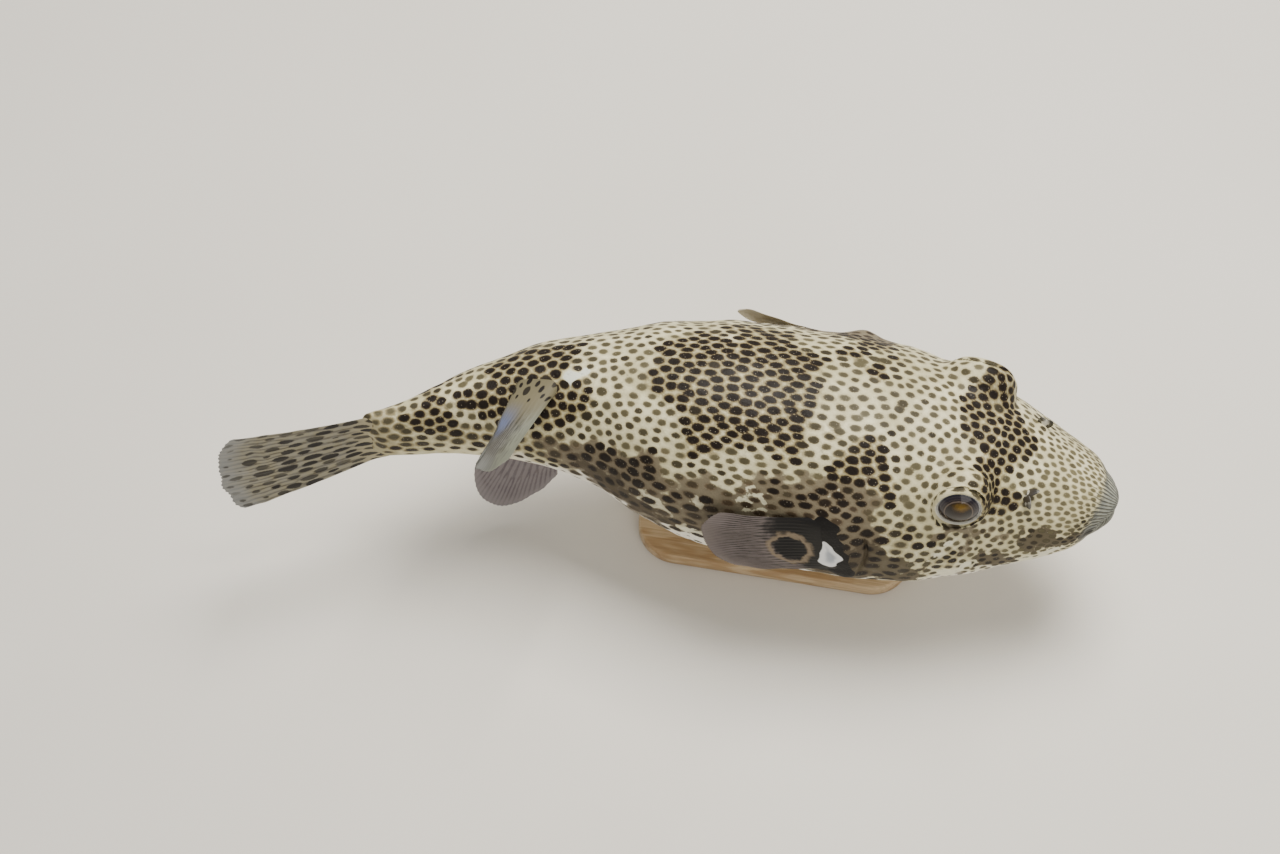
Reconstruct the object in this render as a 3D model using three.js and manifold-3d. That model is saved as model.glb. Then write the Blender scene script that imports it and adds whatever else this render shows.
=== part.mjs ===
// A starry pufferfish at life size, swimming with its tail curved to its right, on a plain display stand.
// Millimetres, +Z up, +X towards the head, +Y to the fish's left. The origin is under the middle of the base.
import * as THREE from "three";
import { mergeVertices } from "three/addons/utils/BufferGeometryUtils.js";
import Module from "manifold-3d";

const wasm = await Module();
wasm.setup();

// ---- Driving dimensions -------------------------------------------------------------------------------

// Cross-sections of the body, straightened out: t runs back along the axis from the snout tip, z is up from
// the axis. A section is widest at the height "wide", and its squareness is 2 where it is an ellipse.
const STATIONS = [
  // t, top, bottom, wide, half width, squareness above, squareness below
  [6, 7.5, -21.5, -8, 23.0, 2.1, 2.1],
  [14, 13.5, -28.5, -11, 31.0, 2.05, 2.1],
  [28, 20.5, -37.5, -15, 38.5, 2.0, 2.1],
  [52, 30.5, -49.5, -20, 49.0, 1.95, 2.15],
  [78, 42.0, -59.5, -23, 60.0, 1.95, 2.2],
  [105, 51.0, -67.0, -25, 69.5, 2.05, 2.2],
  [140, 59.0, -74.0, -25, 77.0, 2.15, 2.2],
  [180, 65.0, -81.0, -22, 78.5, 2.1, 2.15],
  [225, 68.0, -84.0, -18, 77.0, 2.0, 2.1],
  [270, 66.5, -81.0, -13, 72.5, 2.0, 2.1],
  [310, 61.5, -71.0, -8, 62.0, 2.0, 2.0],
  [340, 55.5, -57.0, -3, 50.0, 2.0, 2.0],
  [375, 47.5, -45.0, 0, 40.5, 2.0, 2.0],
  [410, 40.5, -36.0, 2, 30.0, 2.0, 2.0],
  [445, 34.0, -29.5, 2, 19.5, 2.0, 2.0],
  [487, 29.5, -26.5, 1, 8.5, 2.0, 2.0],
];
const SNOUT_FRONT = STATIONS[0][0];
const STEM_END = STATIONS.at(-1)[0];
const HEAD_END = 160; // just behind the gill slit
const TRUNK_END = 345; // at the vent

// The axis turns a little to the fish's right at the head, and more at the tail.
const HEAD_TURN = { degrees: 7, from: 45, to: 145 };
const TAIL_TURN = { degrees: -24, from: 300, to: 450 };

// The front of the snout curves back towards the corners of the mouth.
const SETBACK = { depth: 8, reach: 26 };
const MOUTH = { halfWidth: 17.5, halfHeight: 7.6, z: -7.2, t: 5.2, roll: 5.2, cornerRoll: 4.4 };
// Behind the lips the head is dished: the snout's front section at smaller scales, set back by a depth.
const MOUTH_DISH = [{ scale: 0.35, depth: 4 }, { scale: 0.72, depth: 1 }];
const BEAK = { halfWidth: 12.5, height: 7.5, front: 2.4, curve: 4.5, root: 5, edge: 1.3, bite: 0.5, bevel: 1.5 };

// Eye openings in the straight body: centre, outward axis, radius of the opening, and the flattened eyeball.
const EYE = { t: 101, y: 51, z: 36, axis: [-0.1, 0.965, 0.21], opening: 14.8, radius: 18, halfDepth: 12 };

// The low mound of skin that carries the eye: a flattened dome outwards, a deep one towards the crown.
const EYE_MOUND = { radius: 21.5, outerDepth: 11.5, innerDepth: 26, blend: 10 };

// The nasal flaps: their place, their size, and how they turn about the snout and lean back, in degrees.
const NOSTRIL = { t: 60, angle: 30, stem: 1.8, root: 2, height: 6.5, spread: 3.6, thickness: 1.6 };
const NOSTRIL_SET = { twist: -60, lean: 20, follow: 0.6 };

// The blunt end of the tail stem, inside the root of the tail fin.
const STEM_CAP = { scale: 0.6, depth: 4 };

// Fins: the two ends of the root in the straight body, then the first, middle and last ray from it (mm in the
// part's own directions). "curl" bows the rays, "round" and "corner" shape the outer edge.
const FINS = {
  dorsal_fin: {
    root: [[362, 0, 40], [394, 0, 36]],
    rays: [[-28, -83, 12], [-25, -84, 26], [-6, -70, 29]],
    curl: [0, 6, -22], round: 0.14, corner: 5,
  },
  anal_fin: {
    root: [[372, 0, -38], [404, 0, -30]],
    rays: [[2, -14, -56], [-22, -22, -74], [-32, -20, -46]],
    curl: [0, 6, 0], round: 0.14, corner: 5,
  },
  caudal_fin: {
    root: [[483, 0, 27], [483, 0, -25]],
    rays: [[-95, -45, 15], [-102, -48, -4], [-98, -51, -25]],
    curl: [0, 8, 0], round: 0.07, corner: 5,
  },
  pectoral_fin_right: {
    root: [[178, -65, 23], [166, -75, -24]],
    rays: [[-84, -12, 5], [-86, -18, 2], [-70, -14, 2]],
    curl: [0, 10, 0], round: 0.12, corner: 5,
  },
  pectoral_fin_left: {
    root: [[178, 65, 23], [166, 75, -24]],
    rays: [[-88, 19, -12], [-86, 25, -20], [-66, 23, -24]],
    curl: [0, 6, 0], round: 0.12, corner: 5,
  },
};
// A fin thins quickly from its root, and is at its edge thickness from "taper" of the way out.
const FIN_HALF_THICKNESS = { root: 3.2, edge: 0.6, taper: 0.625, power: 0.7 };

const BASE = { length: 190, width: 92, thickness: 12, corner: 28, bevel: 1.5 };
const ROD = { radius: 4, stations: [172, 280], gapUnderBelly: 28, intoBelly: 20 };
const BALANCE = { x: 217.3, y: -9.5 }; // brings the fish's centre of mass over the middle of the base

const GAP = 0.3; // clearance between neighbouring solids
const RING_SEGMENTS = 40;
const RING_BUNCHING = 0.1; // draws a ring's points towards the level of the eyes

// ---- Materials ----------------------------------------------------------------------------------------

const MATERIALS = {
  skin: { color: 0xb9b29c, roughness: 0.55, metalness: 0 },
  lips: { color: 0x7d7f86, roughness: 0.5, metalness: 0 },
  beak: { color: 0xe4ddc6, roughness: 0.35, metalness: 0 },
  eye: { color: 0x2c2527, roughness: 0.08, metalness: 0 },
  fin: { color: 0x7c7a76, roughness: 0.5, metalness: 0 },
  stand_wood: { color: 0xc9b28f, roughness: 0.5, metalness: 0 },
  stand_steel: { color: 0xb9bcc0, roughness: 0.3, metalness: 1 },
};
const material = (name) => new THREE.MeshStandardMaterial({ name, ...MATERIALS[name] });

// ---- Helpers ------------------------------------------------------------------------------------------

const { clamp, degToRad, lerp, smoothstep } = THREE.MathUtils;
const vector = (xyz) => new THREE.Vector3(...xyz);

// A cubic curve through one column of the station table.
function station(t, column) {
  const last = STATIONS.length - 1;
  const at = clamp(t, SNOUT_FRONT, STEM_END);
  const i = Math.min(STATIONS.findIndex((row, k) => k === last || at <= STATIONS[k + 1][0]), last - 1);
  const step = (k) => STATIONS[k + 1][0] - STATIONS[k][0];
  const rise = (k) => (STATIONS[k + 1][column] - STATIONS[k][column]) / step(k);
  const slope = (k) => {
    if (k === 0) return rise(0);
    if (k === last) return rise(last - 1);
    return (rise(k) * step(k - 1) + rise(k - 1) * step(k)) / (step(k - 1) + step(k));
  };
  const s = (at - STATIONS[i][0]) / step(i);
  return (
    (2 * s ** 3 - 3 * s ** 2 + 1) * STATIONS[i][column] +
    (s ** 3 - 2 * s ** 2 + s) * step(i) * slope(i) +
    (3 * s ** 2 - 2 * s ** 3) * STATIONS[i + 1][column] +
    (s ** 3 - s ** 2) * step(i) * slope(i + 1)
  );
}

// A closed manifold-3d solid from vertices and triangles, turned to face outwards.
function solid(vertices, triangles) {
  const volume = triangles.reduce((sum, [a, b, c]) => {
    return sum + vertices[a].dot(new THREE.Vector3().crossVectors(vertices[b], vertices[c]));
  }, 0);
  const facing = volume > 0 ? triangles : triangles.map(([a, b, c]) => [a, c, b]);
  return new wasm.Manifold(
    new wasm.Mesh({
      numProp: 3,
      vertProperties: new Float32Array(vertices.flatMap((v) => v.toArray())),
      triVerts: new Uint32Array(facing.flat()),
    }),
  );
}

// A closed solid from a three.js geometry.
function solidOf(geometry) {
  const bare = geometry.clone();
  bare.deleteAttribute("normal");
  bare.deleteAttribute("uv");
  const merged = mergeVertices(bare, 1e-4);
  return new wasm.Manifold(
    new wasm.Mesh({
      numProp: 3,
      vertProperties: merged.attributes.position.array,
      triVerts: new Uint32Array(merged.index.array),
    }),
  );
}

function geometryOf(shape) {
  const { vertProperties, triVerts } = shape.getMesh();
  const geometry = new THREE.BufferGeometry();
  geometry.setAttribute("position", new THREE.BufferAttribute(vertProperties, 3));
  geometry.setIndex(new THREE.BufferAttribute(triVerts, 1));
  const flat = geometry.toNonIndexed();
  flat.computeVertexNormals();
  return flat;
}

function named(name, geometry, slot) {
  const mesh = new THREE.Mesh(geometry, material(slot));
  mesh.name = name;
  return mesh;
}

// The closed skin over a row of rings that all have the same number of points, with a cap at each end.
function loft(rings) {
  const n = rings[0].length;
  const vertices = rings.flat();
  const triangles = [];
  for (let i = 0; i + 1 < rings.length; i++)
    for (let j = 0; j < n; j++) {
      const [a, b] = [i * n + j, i * n + ((j + 1) % n)];
      triangles.push([a, b, b + n], [a, b + n, a + n]);
    }
  for (const [ring, start] of [[rings[0], 0], [rings.at(-1), (rings.length - 1) * n]]) {
    const middle = ring.reduce((sum, v) => sum.add(v), new THREE.Vector3()).divideScalar(n);
    const hub = vertices.push(middle) - 1;
    for (let j = 0; j < n; j++) {
      const [a, b] = [start + j, start + ((j + 1) % n)];
      triangles.push(start === 0 ? [hub, b, a] : [hub, a, b]);
    }
  }
  return solid(vertices, triangles);
}

// ---- The body's surface -------------------------------------------------------------------------------

const turn = (t) =>
  degToRad(
    HEAD_TURN.degrees * (1 - smoothstep(t, HEAD_TURN.from, HEAD_TURN.to)) +
      TAIL_TURN.degrees * smoothstep(t, TAIL_TURN.from, TAIL_TURN.to),
  );

// The curved axis, walked from the snout tip in short steps.
const AXIS_STEP = 0.5;
const AXIS_FRONT = -20;
const AXIS_SPARE = 40;
const axisPoints = [new THREE.Vector2(0, 0)];
for (let t = AXIS_FRONT; t < STEM_END + AXIS_SPARE; t += AXIS_STEP) {
  const angle = turn(t + AXIS_STEP / 2);
  const step = new THREE.Vector2(-Math.cos(angle), Math.sin(angle)).multiplyScalar(AXIS_STEP);
  axisPoints.push(step.add(axisPoints.at(-1)));
}

function axisAt(t) {
  const place = (t - AXIS_FRONT) / AXIS_STEP;
  const i = clamp(Math.floor(place), 0, axisPoints.length - 2);
  return axisPoints[i].clone().lerp(axisPoints[i + 1], place - i);
}
const snoutTip = axisAt(0);

// From the straight body to the curved one.
function bend(p) {
  const axis = axisAt(p.x).sub(snoutTip);
  const angle = turn(p.x);
  return new THREE.Vector3(axis.x + p.y * Math.sin(angle), axis.y + p.y * Math.cos(angle), p.z);
}

// The point of the section at t that lies at an angle from the back (0) by the left side to the belly (pi).
function sectionPoint(t, phi, grow = 0) {
  const [top, bottom, wide, halfWidth, above, below] = [1, 2, 3, 4, 5, 6].map((k) => station(t, k));
  const [c, s] = [Math.cos(phi), Math.sin(phi)];
  const power = 2 / (c >= 0 ? above : below);
  const reach = c >= 0 ? top - wide : wide - bottom;
  const setback = SETBACK.depth * s * s * Math.exp(-Math.max(t - SNOUT_FRONT, 0) / SETBACK.reach);
  return new THREE.Vector3(
    t + setback,
    halfWidth * Math.sign(s) * Math.abs(s) ** power + grow * s,
    wide + reach * Math.sign(c) * Math.abs(c) ** power + grow * c,
  );
}

function eyeFrame(side) {
  const centre = new THREE.Vector3(EYE.t, side * EYE.y, EYE.z);
  const axis = new THREE.Vector3(EYE.axis[0], side * EYE.axis[1], EYE.axis[2]).normalize();
  const depth = EYE.halfDepth * Math.sqrt(1 - (EYE.opening / EYE.radius) ** 2);
  return { centre, axis, ball: centre.clone().addScaledVector(axis, -depth) };
}

// How far a point lies outside the flattened mound round either eye, negative inside it.
function moundDistance(p) {
  const distances = [1, -1].map((side) => {
    const { axis, ball } = eyeFrame(side);
    const from = p.clone().sub(ball);
    const height = from.dot(axis);
    const across = Math.sqrt(Math.max(from.lengthSq() - height * height, 0));
    const radius = EYE_MOUND.radius;
    const depth = height > 0 ? EYE_MOUND.outerDepth : EYE_MOUND.innerDepth;
    const scaled = Math.hypot(across / radius, height / depth);
    return (scaled * (scaled - 1)) / Math.max(Math.hypot(across / radius ** 2, height / depth ** 2), 1e-9);
  });
  return Math.min(...distances);
}

// Moves a point of a section outwards from the axis onto the mounds, with a soft fillet where they meet.
function overMounds(p) {
  const hub = new THREE.Vector3(p.x, 0, station(p.x, 3));
  const ray = p.clone().sub(hub);
  const outside = (s) => {
    const body = ray.length() * (s - 1);
    const mound = moundDistance(hub.clone().addScaledVector(ray, s));
    const near = Math.max(EYE_MOUND.blend - Math.abs(body - mound), 0) / EYE_MOUND.blend;
    return Math.min(body, mound) - (near * near * EYE_MOUND.blend) / 4;
  };
  if (outside(1) > -1e-6) return p;
  let [inner, outer] = [1, 1.6];
  for (let i = 0; i < 24; i++) {
    const middle = (inner + outer) / 2;
    if (outside(middle) < 0) inner = middle;
    else outer = middle;
  }
  return hub.addScaledVector(ray, inner);
}

const surfacePoint = (t, phi, grow = 0) => bend(overMounds(sectionPoint(t, phi, grow)));

function ring(t, grow = 0, scale = 1, shift = 0) {
  const middle = new THREE.Vector3(t, 0, (station(t, 1) + station(t, 2)) / 2);
  return Array.from({ length: RING_SEGMENTS }, (_, j) => {
    const even = (2 * Math.PI * j) / RING_SEGMENTS;
    const p = overMounds(sectionPoint(t, even + RING_BUNCHING * Math.sin(4 * even), grow));
    p.lerp(new THREE.Vector3(p.x, middle.y, middle.z), 1 - scale);
    p.x += shift;
    return bend(p);
  });
}

const stations = (from, to, count) => Array.from({ length: count + 1 }, (_, i) => lerp(from, to, i / count));

// The whole body grown a little, which cuts what stands against it.
const clearance = loft([
  ...stations(SNOUT_FRONT, STEM_END, 40).map((t) => ring(t, GAP)),
  ring(STEM_END, GAP, STEM_CAP.scale, STEM_CAP.depth),
]);

// ---- Pieces -------------------------------------------------------------------------------------------

// A roll of flesh round the mouth, thinner and set back at the corners.
function lipRoll(grow = 0) {
  const [around, across] = [26, 8];
  const path = (a) => {
    const corner = Math.cos(a) ** 2;
    return new THREE.Vector3(
      MOUTH.t + SETBACK.depth * corner,
      MOUTH.halfWidth * Math.cos(a),
      MOUTH.z + MOUTH.halfHeight * Math.sin(a),
    );
  };
  const vertices = [];
  const triangles = [];
  for (let i = 0; i < around; i++) {
    const a = (2 * Math.PI * i) / around;
    const centre = path(a);
    const along = path(a + 0.01).sub(path(a - 0.01)).normalize();
    const back = new THREE.Vector3(1, 0, 0).addScaledVector(along, -along.x).normalize();
    const outward = new THREE.Vector3().crossVectors(back, along).normalize();
    const radius = lerp(MOUTH.roll, MOUTH.cornerRoll, Math.cos(a) ** 2) + grow;
    for (let j = 0; j < across; j++) {
      const b = (2 * Math.PI * j) / across;
      const p = centre.clone().addScaledVector(back, radius * Math.cos(b));
      vertices.push(bend(p.addScaledVector(outward, radius * Math.sin(b))));
      const [i1, j1] = [(i + 1) % around, (j + 1) % across];
      triangles.push([i * across + j, i1 * across + j, i1 * across + j1]);
      triangles.push([i * across + j, i1 * across + j1, i * across + j1]);
    }
  }
  return solid(vertices, triangles);
}

// One of the two curved biting plates: side 1 is the upper, -1 the lower.
function beakPlate(side, grow = 0) {
  const halfWidth = BEAK.halfWidth + grow;
  const profile = (y) => {
    const front = BEAK.front + BEAK.curve * (y / halfWidth) ** 2;
    const low = BEAK.bite - grow;
    return [
      [front - grow, low + BEAK.bevel],
      [front + 0.5 - grow, low],
      [front + 0.5 + BEAK.edge + grow, low],
      [front + BEAK.root + grow, BEAK.height + grow],
      [front - grow, BEAK.height + grow],
    ].map(([t, z]) => bend(new THREE.Vector3(t, y, MOUTH.z + side * z)));
  };
  return loft(stations(-halfWidth, halfWidth, 8).map(profile));
}

function eyeball(side, grow = 0) {
  const { ball, axis } = eyeFrame(side);
  const [centre, tip] = [bend(ball), bend(ball.clone().add(axis))];
  const geometry = new THREE.SphereGeometry(1, 18, 10).rotateX(Math.PI / 2);
  geometry.scale(EYE.radius + grow, EYE.radius + grow, EYE.halfDepth + grow);
  const outward = tip.sub(centre).normalize();
  const quaternion = new THREE.Quaternion().setFromUnitVectors(new THREE.Vector3(0, 0, 1), outward);
  return { geometry, centre, quaternion };
}

// What the head leaves free round an eye: the eyeball's own room and the round opening between the lids.
function eyeSocket(side) {
  const { geometry, centre, quaternion } = eyeball(side, GAP);
  const reach = EYE_MOUND.radius;
  const opening = new THREE.CylinderGeometry(EYE.opening, EYE.opening, reach, 24).rotateX(Math.PI / 2);
  opening.translate(0, 0, reach / 2);
  const [room, hole] = [geometry, opening].map((g) => solidOf(g.applyQuaternion(quaternion).translate(...centre)));
  return room.add(hole);
}

// A forked flap of skin at the nostril, on a short stem.
function nasalFlap(side) {
  const { stem, root, height, spread, thickness } = NOSTRIL;
  const outline = new THREE.Shape();
  outline.moveTo(-stem, -root);
  outline.lineTo(stem, -root);
  outline.quadraticCurveTo(stem, height * 0.4, spread, height);
  outline.quadraticCurveTo(spread * 0.4, height * 0.95, 0, height * 0.45);
  outline.quadraticCurveTo(-spread * 0.5, height * 0.8, -spread, height * 0.85);
  outline.quadraticCurveTo(-stem, height * 0.3, -stem, -root);
  const extrusion = { depth: thickness, bevelEnabled: false, curveSegments: 4 };
  const geometry = new THREE.ExtrudeGeometry(outline, extrusion);
  geometry.translate(0, 0, -thickness / 2).rotateX(Math.PI / 2);
  const phi = side * degToRad(NOSTRIL.angle);
  const foot = surfacePoint(NOSTRIL.t, phi);
  geometry.rotateZ(side * degToRad(NOSTRIL_SET.twist));
  geometry.rotateX(-phi * NOSTRIL_SET.follow).rotateY(degToRad(NOSTRIL_SET.lean));
  return solidOf(geometry.translate(...foot)).subtract(clearance);
}

// A point of a fin's middle surface: u from the root to the edge, v from the first ray to the last.
function finPoint(fin, u, v) {
  const root = bend(vector(fin.root[0])).lerp(bend(vector(fin.root[1])), v);
  const [first, middle, last] = fin.rays.map(vector);
  const ray = first.multiplyScalar((1 - v) * (1 - 2 * v));
  ray.addScaledVector(middle, 4 * v * (1 - v)).addScaledVector(last, v * (2 * v - 1));
  const along = u * (1 - fin.round * Math.abs(2 * v - 1) ** fin.corner);
  return root.addScaledVector(ray, along).addScaledVector(vector(fin.curl), along * along - along);
}

function finSolid(fin) {
  const { root: rootHalf, edge, taper, power } = FIN_HALF_THICKNESS;
  const [across, along] = [10, 7];
  const vertices = [];
  const triangles = [];
  for (const face of [1, -1])
    for (let i = 0; i <= along; i++)
      for (let j = 0; j <= across; j++) {
        const [u, v] = [i / along, j / across];
        const [p, e] = [finPoint(fin, u, v), 1e-3];
        const du = finPoint(fin, u + e, v).sub(finPoint(fin, u - e, v));
        const dv = finPoint(fin, u, v + e).sub(finPoint(fin, u, v - e));
        const normal = du.cross(dv).normalize();
        const half = lerp(rootHalf, edge, Math.min(1, u / taper) ** power);
        vertices.push(p.addScaledVector(normal, face * half));
      }
  const row = across + 1;
  const back = (along + 1) * row;
  const quad = (a, b, c, d) => triangles.push([a, b, c], [a, c, d]);
  for (let i = 0; i < along; i++)
    for (let j = 0; j < across; j++) {
      const a = i * row + j;
      quad(a, a + 1, a + row + 1, a + row);
      quad(back + a, back + a + row, back + a + row + 1, back + a + 1);
    }
  for (let j = 0; j < across; j++) {
    const end = along * row + j;
    quad(j + 1, j, back + j, back + j + 1);
    quad(end, end + 1, back + end + 1, back + end);
  }
  for (let i = 0; i < along; i++) {
    const [a, b] = [i * row, i * row + across];
    quad(a, a + row, back + a + row, back + a);
    quad(b + row, b, back + b, back + b + row);
  }
  return solid(vertices, triangles).subtract(clearance);
}

function standBase() {
  const { length, width, corner, thickness, bevel } = BASE;
  const [x, y, r] = [length / 2 - bevel, width / 2 - bevel, corner - bevel];
  const outline = new THREE.Shape();
  outline.absarc(x - r, y - r, r, 0, Math.PI / 2);
  outline.absarc(-x + r, y - r, r, Math.PI / 2, Math.PI);
  outline.absarc(-x + r, -y + r, r, Math.PI, 1.5 * Math.PI);
  outline.absarc(x - r, -y + r, r, 1.5 * Math.PI, 2 * Math.PI);
  const geometry = new THREE.ExtrudeGeometry(outline, {
    depth: thickness - 2 * bevel,
    bevelThickness: bevel,
    bevelSize: bevel,
    bevelSegments: 1,
    curveSegments: 4,
  });
  return geometry.translate(0, 0, bevel);
}

// A rod from the base up to the belly at t, over the middle line of the base.
function standRod(t, baseTop) {
  const at = bend(new THREE.Vector3(t, 0, 0));
  const [bottom, top] = [baseTop + GAP, station(t, 2) + ROD.intoBelly];
  const rod = new THREE.CylinderGeometry(ROD.radius, ROD.radius, top - bottom, 20).rotateX(Math.PI / 2);
  return solidOf(rod.translate(at.x, -BALANCE.y, (bottom + top) / 2)).subtract(clearance);
}

// ---- Assembly -----------------------------------------------------------------------------------------

const belly = Math.min(...STATIONS.map((row) => row[2]));
const axisHeight = BASE.thickness + ROD.gapUnderBelly - belly;

const fish = new THREE.Group();
fish.position.set(BALANCE.x, BALANCE.y, axisHeight);

const inMouth = MOUTH_DISH.map(({ scale, depth }) => ring(SNOUT_FRONT, 0, scale, depth));
const headStations = [
  ...stations(SNOUT_FRONT, EYE.t - EYE.radius, 9).slice(0, -1),
  ...stations(EYE.t - EYE.radius, EYE.t + EYE.radius, 9),
  ...stations(EYE.t + EYE.radius, HEAD_END - GAP / 2, 4).slice(1),
];
let head = loft([...inMouth, ...headStations.map((t) => ring(t))]);
for (const cutter of [lipRoll(GAP), beakPlate(1, GAP), beakPlate(-1, GAP), eyeSocket(1), eyeSocket(-1)])
  head = head.subtract(cutter);
const trunk = loft(stations(HEAD_END + GAP / 2, TRUNK_END - GAP / 2, 10).map((t) => ring(t)));
const stem = loft([
  ...stations(TRUNK_END + GAP / 2, STEM_END, 9).map((t) => ring(t)),
  ring(STEM_END, 0, STEM_CAP.scale, STEM_CAP.depth - GAP),
]);
fish.add(
  named("head", geometryOf(head), "skin"),
  named("trunk", geometryOf(trunk), "skin"),
  named("tail_stem", geometryOf(stem), "skin"),
);

const lips = lipRoll().subtract(beakPlate(1, GAP)).subtract(beakPlate(-1, GAP));
fish.add(
  named("lips", geometryOf(lips), "lips"),
  named("beak_upper", geometryOf(beakPlate(1)), "beak"),
  named("beak_lower", geometryOf(beakPlate(-1)), "beak"),
);

for (const [word, side] of [["left", 1], ["right", -1]]) {
  const { geometry, centre, quaternion } = eyeball(side);
  const eye = named("eye_" + word, geometry, "eye");
  eye.position.copy(centre);
  eye.quaternion.copy(quaternion);
  fish.add(eye, named("nasal_flap_" + word, geometryOf(nasalFlap(side)), "skin"));
}

for (const [name, fin] of Object.entries(FINS)) fish.add(named(name, geometryOf(finSolid(fin)), "fin"));

const baseTop = BASE.thickness - axisHeight;
fish.add(
  named("stand_rod_front", geometryOf(standRod(ROD.stations[0], baseTop)), "stand_steel"),
  named("stand_rod_rear", geometryOf(standRod(ROD.stations[1], baseTop)), "stand_steel"),
);

const model = new THREE.Group();
model.add(fish, named("stand_base", standBase(), "stand_wood"));

export default model;
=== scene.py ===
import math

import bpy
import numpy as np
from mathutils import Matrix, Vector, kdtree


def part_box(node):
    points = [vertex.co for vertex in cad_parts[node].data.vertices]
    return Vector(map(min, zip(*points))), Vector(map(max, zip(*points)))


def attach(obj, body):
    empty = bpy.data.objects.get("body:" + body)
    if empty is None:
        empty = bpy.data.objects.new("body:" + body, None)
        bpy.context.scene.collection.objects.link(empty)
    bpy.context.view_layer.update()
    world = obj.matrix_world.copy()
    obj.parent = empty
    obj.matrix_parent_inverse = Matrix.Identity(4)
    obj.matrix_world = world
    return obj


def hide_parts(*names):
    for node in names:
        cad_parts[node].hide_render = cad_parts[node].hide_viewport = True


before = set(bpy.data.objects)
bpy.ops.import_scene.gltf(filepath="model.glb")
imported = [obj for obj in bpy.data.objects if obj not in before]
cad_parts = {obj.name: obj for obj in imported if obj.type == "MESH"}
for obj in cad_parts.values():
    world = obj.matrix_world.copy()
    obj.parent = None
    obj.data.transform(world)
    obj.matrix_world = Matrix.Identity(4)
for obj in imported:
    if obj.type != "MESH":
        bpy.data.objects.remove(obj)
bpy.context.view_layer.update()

# The looks of a starry pufferfish model: one spotted skin over the head, trunk and tail, with eyes, beak and
# finely rayed fins, on a wooden stand. The fish's shape is worked out in millimetres in the straight fish,
# where a point is (t, y, z): t runs back from the snout, y to the fish's left and z up. The last step bends
# the points into the pose and puts them in the frame, in metres.

MM = 0.001

# ---- Sizes --------------------------------------------------------------------------------------------

# Cross-sections of the straight fish: widest at the height "wide"; squareness 2 is an ellipse.
STATIONS = np.array([
    # t, top, bottom, wide, half width, squareness above, squareness below
    [6, 7.5, -21.5, -8, 23.0, 2.1, 2.1],
    [14, 13.5, -28.5, -11, 31.0, 2.05, 2.1],
    [28, 20.5, -37.5, -15, 38.5, 2.0, 2.1],
    [52, 30.5, -49.5, -20, 49.0, 1.95, 2.15],
    [78, 42.0, -59.5, -23, 60.0, 1.95, 2.2],
    [105, 51.0, -67.0, -25, 69.5, 2.05, 2.2],
    [140, 59.0, -74.0, -25, 77.0, 2.15, 2.2],
    [180, 65.0, -81.0, -22, 78.5, 2.1, 2.15],
    [225, 68.0, -84.0, -18, 77.0, 2.0, 2.1],
    [270, 66.5, -81.0, -13, 72.5, 2.0, 2.1],
    [310, 61.5, -71.0, -8, 62.0, 2.0, 2.0],
    [340, 55.5, -57.0, -3, 50.0, 2.0, 2.0],
    [375, 47.5, -45.0, 0, 40.5, 2.0, 2.0],
    [410, 40.5, -36.0, 2, 30.0, 2.0, 2.0],
    [445, 34.0, -29.5, 2, 19.5, 2.0, 2.0],
    [487, 29.5, -26.5, 1, 8.5, 2.0, 2.0],
])
STATION_T = STATIONS[:, 0]
SNOUT_FRONT, STEM_END = STATION_T[0], STATION_T[-1]
SETBACK_DEPTH, SETBACK_REACH = 8, 26  # the snout's front curves back towards the mouth's corners

HEAD_TURN = {"degrees": 7, "from": 45, "to": 145}
TAIL_TURN = {"degrees": -24, "from": 300, "to": 450}

MOUTH = {"half_width": 17.5, "half_height": 7.6, "z": -7.2, "t": 5.2, "roll": 5.2, "corner_roll": 4.4}
BEAK = {
    "half_width": 12.5, "height": 7.5, "front": 2.4, "curve": 4.5, "bite": 0.5,
    # Back from the plate's front and away from its biting edge, the latter in sevenths of its height.
    "outline": [(0.2, 1.4), (0.35, 0.3), (0.9, 0), (1.6, 0.25), (3.2, 3.5), (5, 7), (4.4, 7), (0.6, 7),
                (0, 6), (0, 3.2)],
}

EYE_CENTRE, EYE_AXIS = np.array([101.0, 51, 36]), np.array([-0.1, 0.965, 0.21])
EYE_OPENING, EYE_RADIUS, EYE_HALF_DEPTH = 14.8, 18.0, 12.0
MOUND_RADIUS, MOUND_OUTER, MOUND_INNER, MOUND_BLEND = 21.5, 11.5, 26.0, 10.0
MOUND_SEARCH, HALVINGS = 1.6, 24  # how far out a mound's surface is looked for, and in how many halvings

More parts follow.
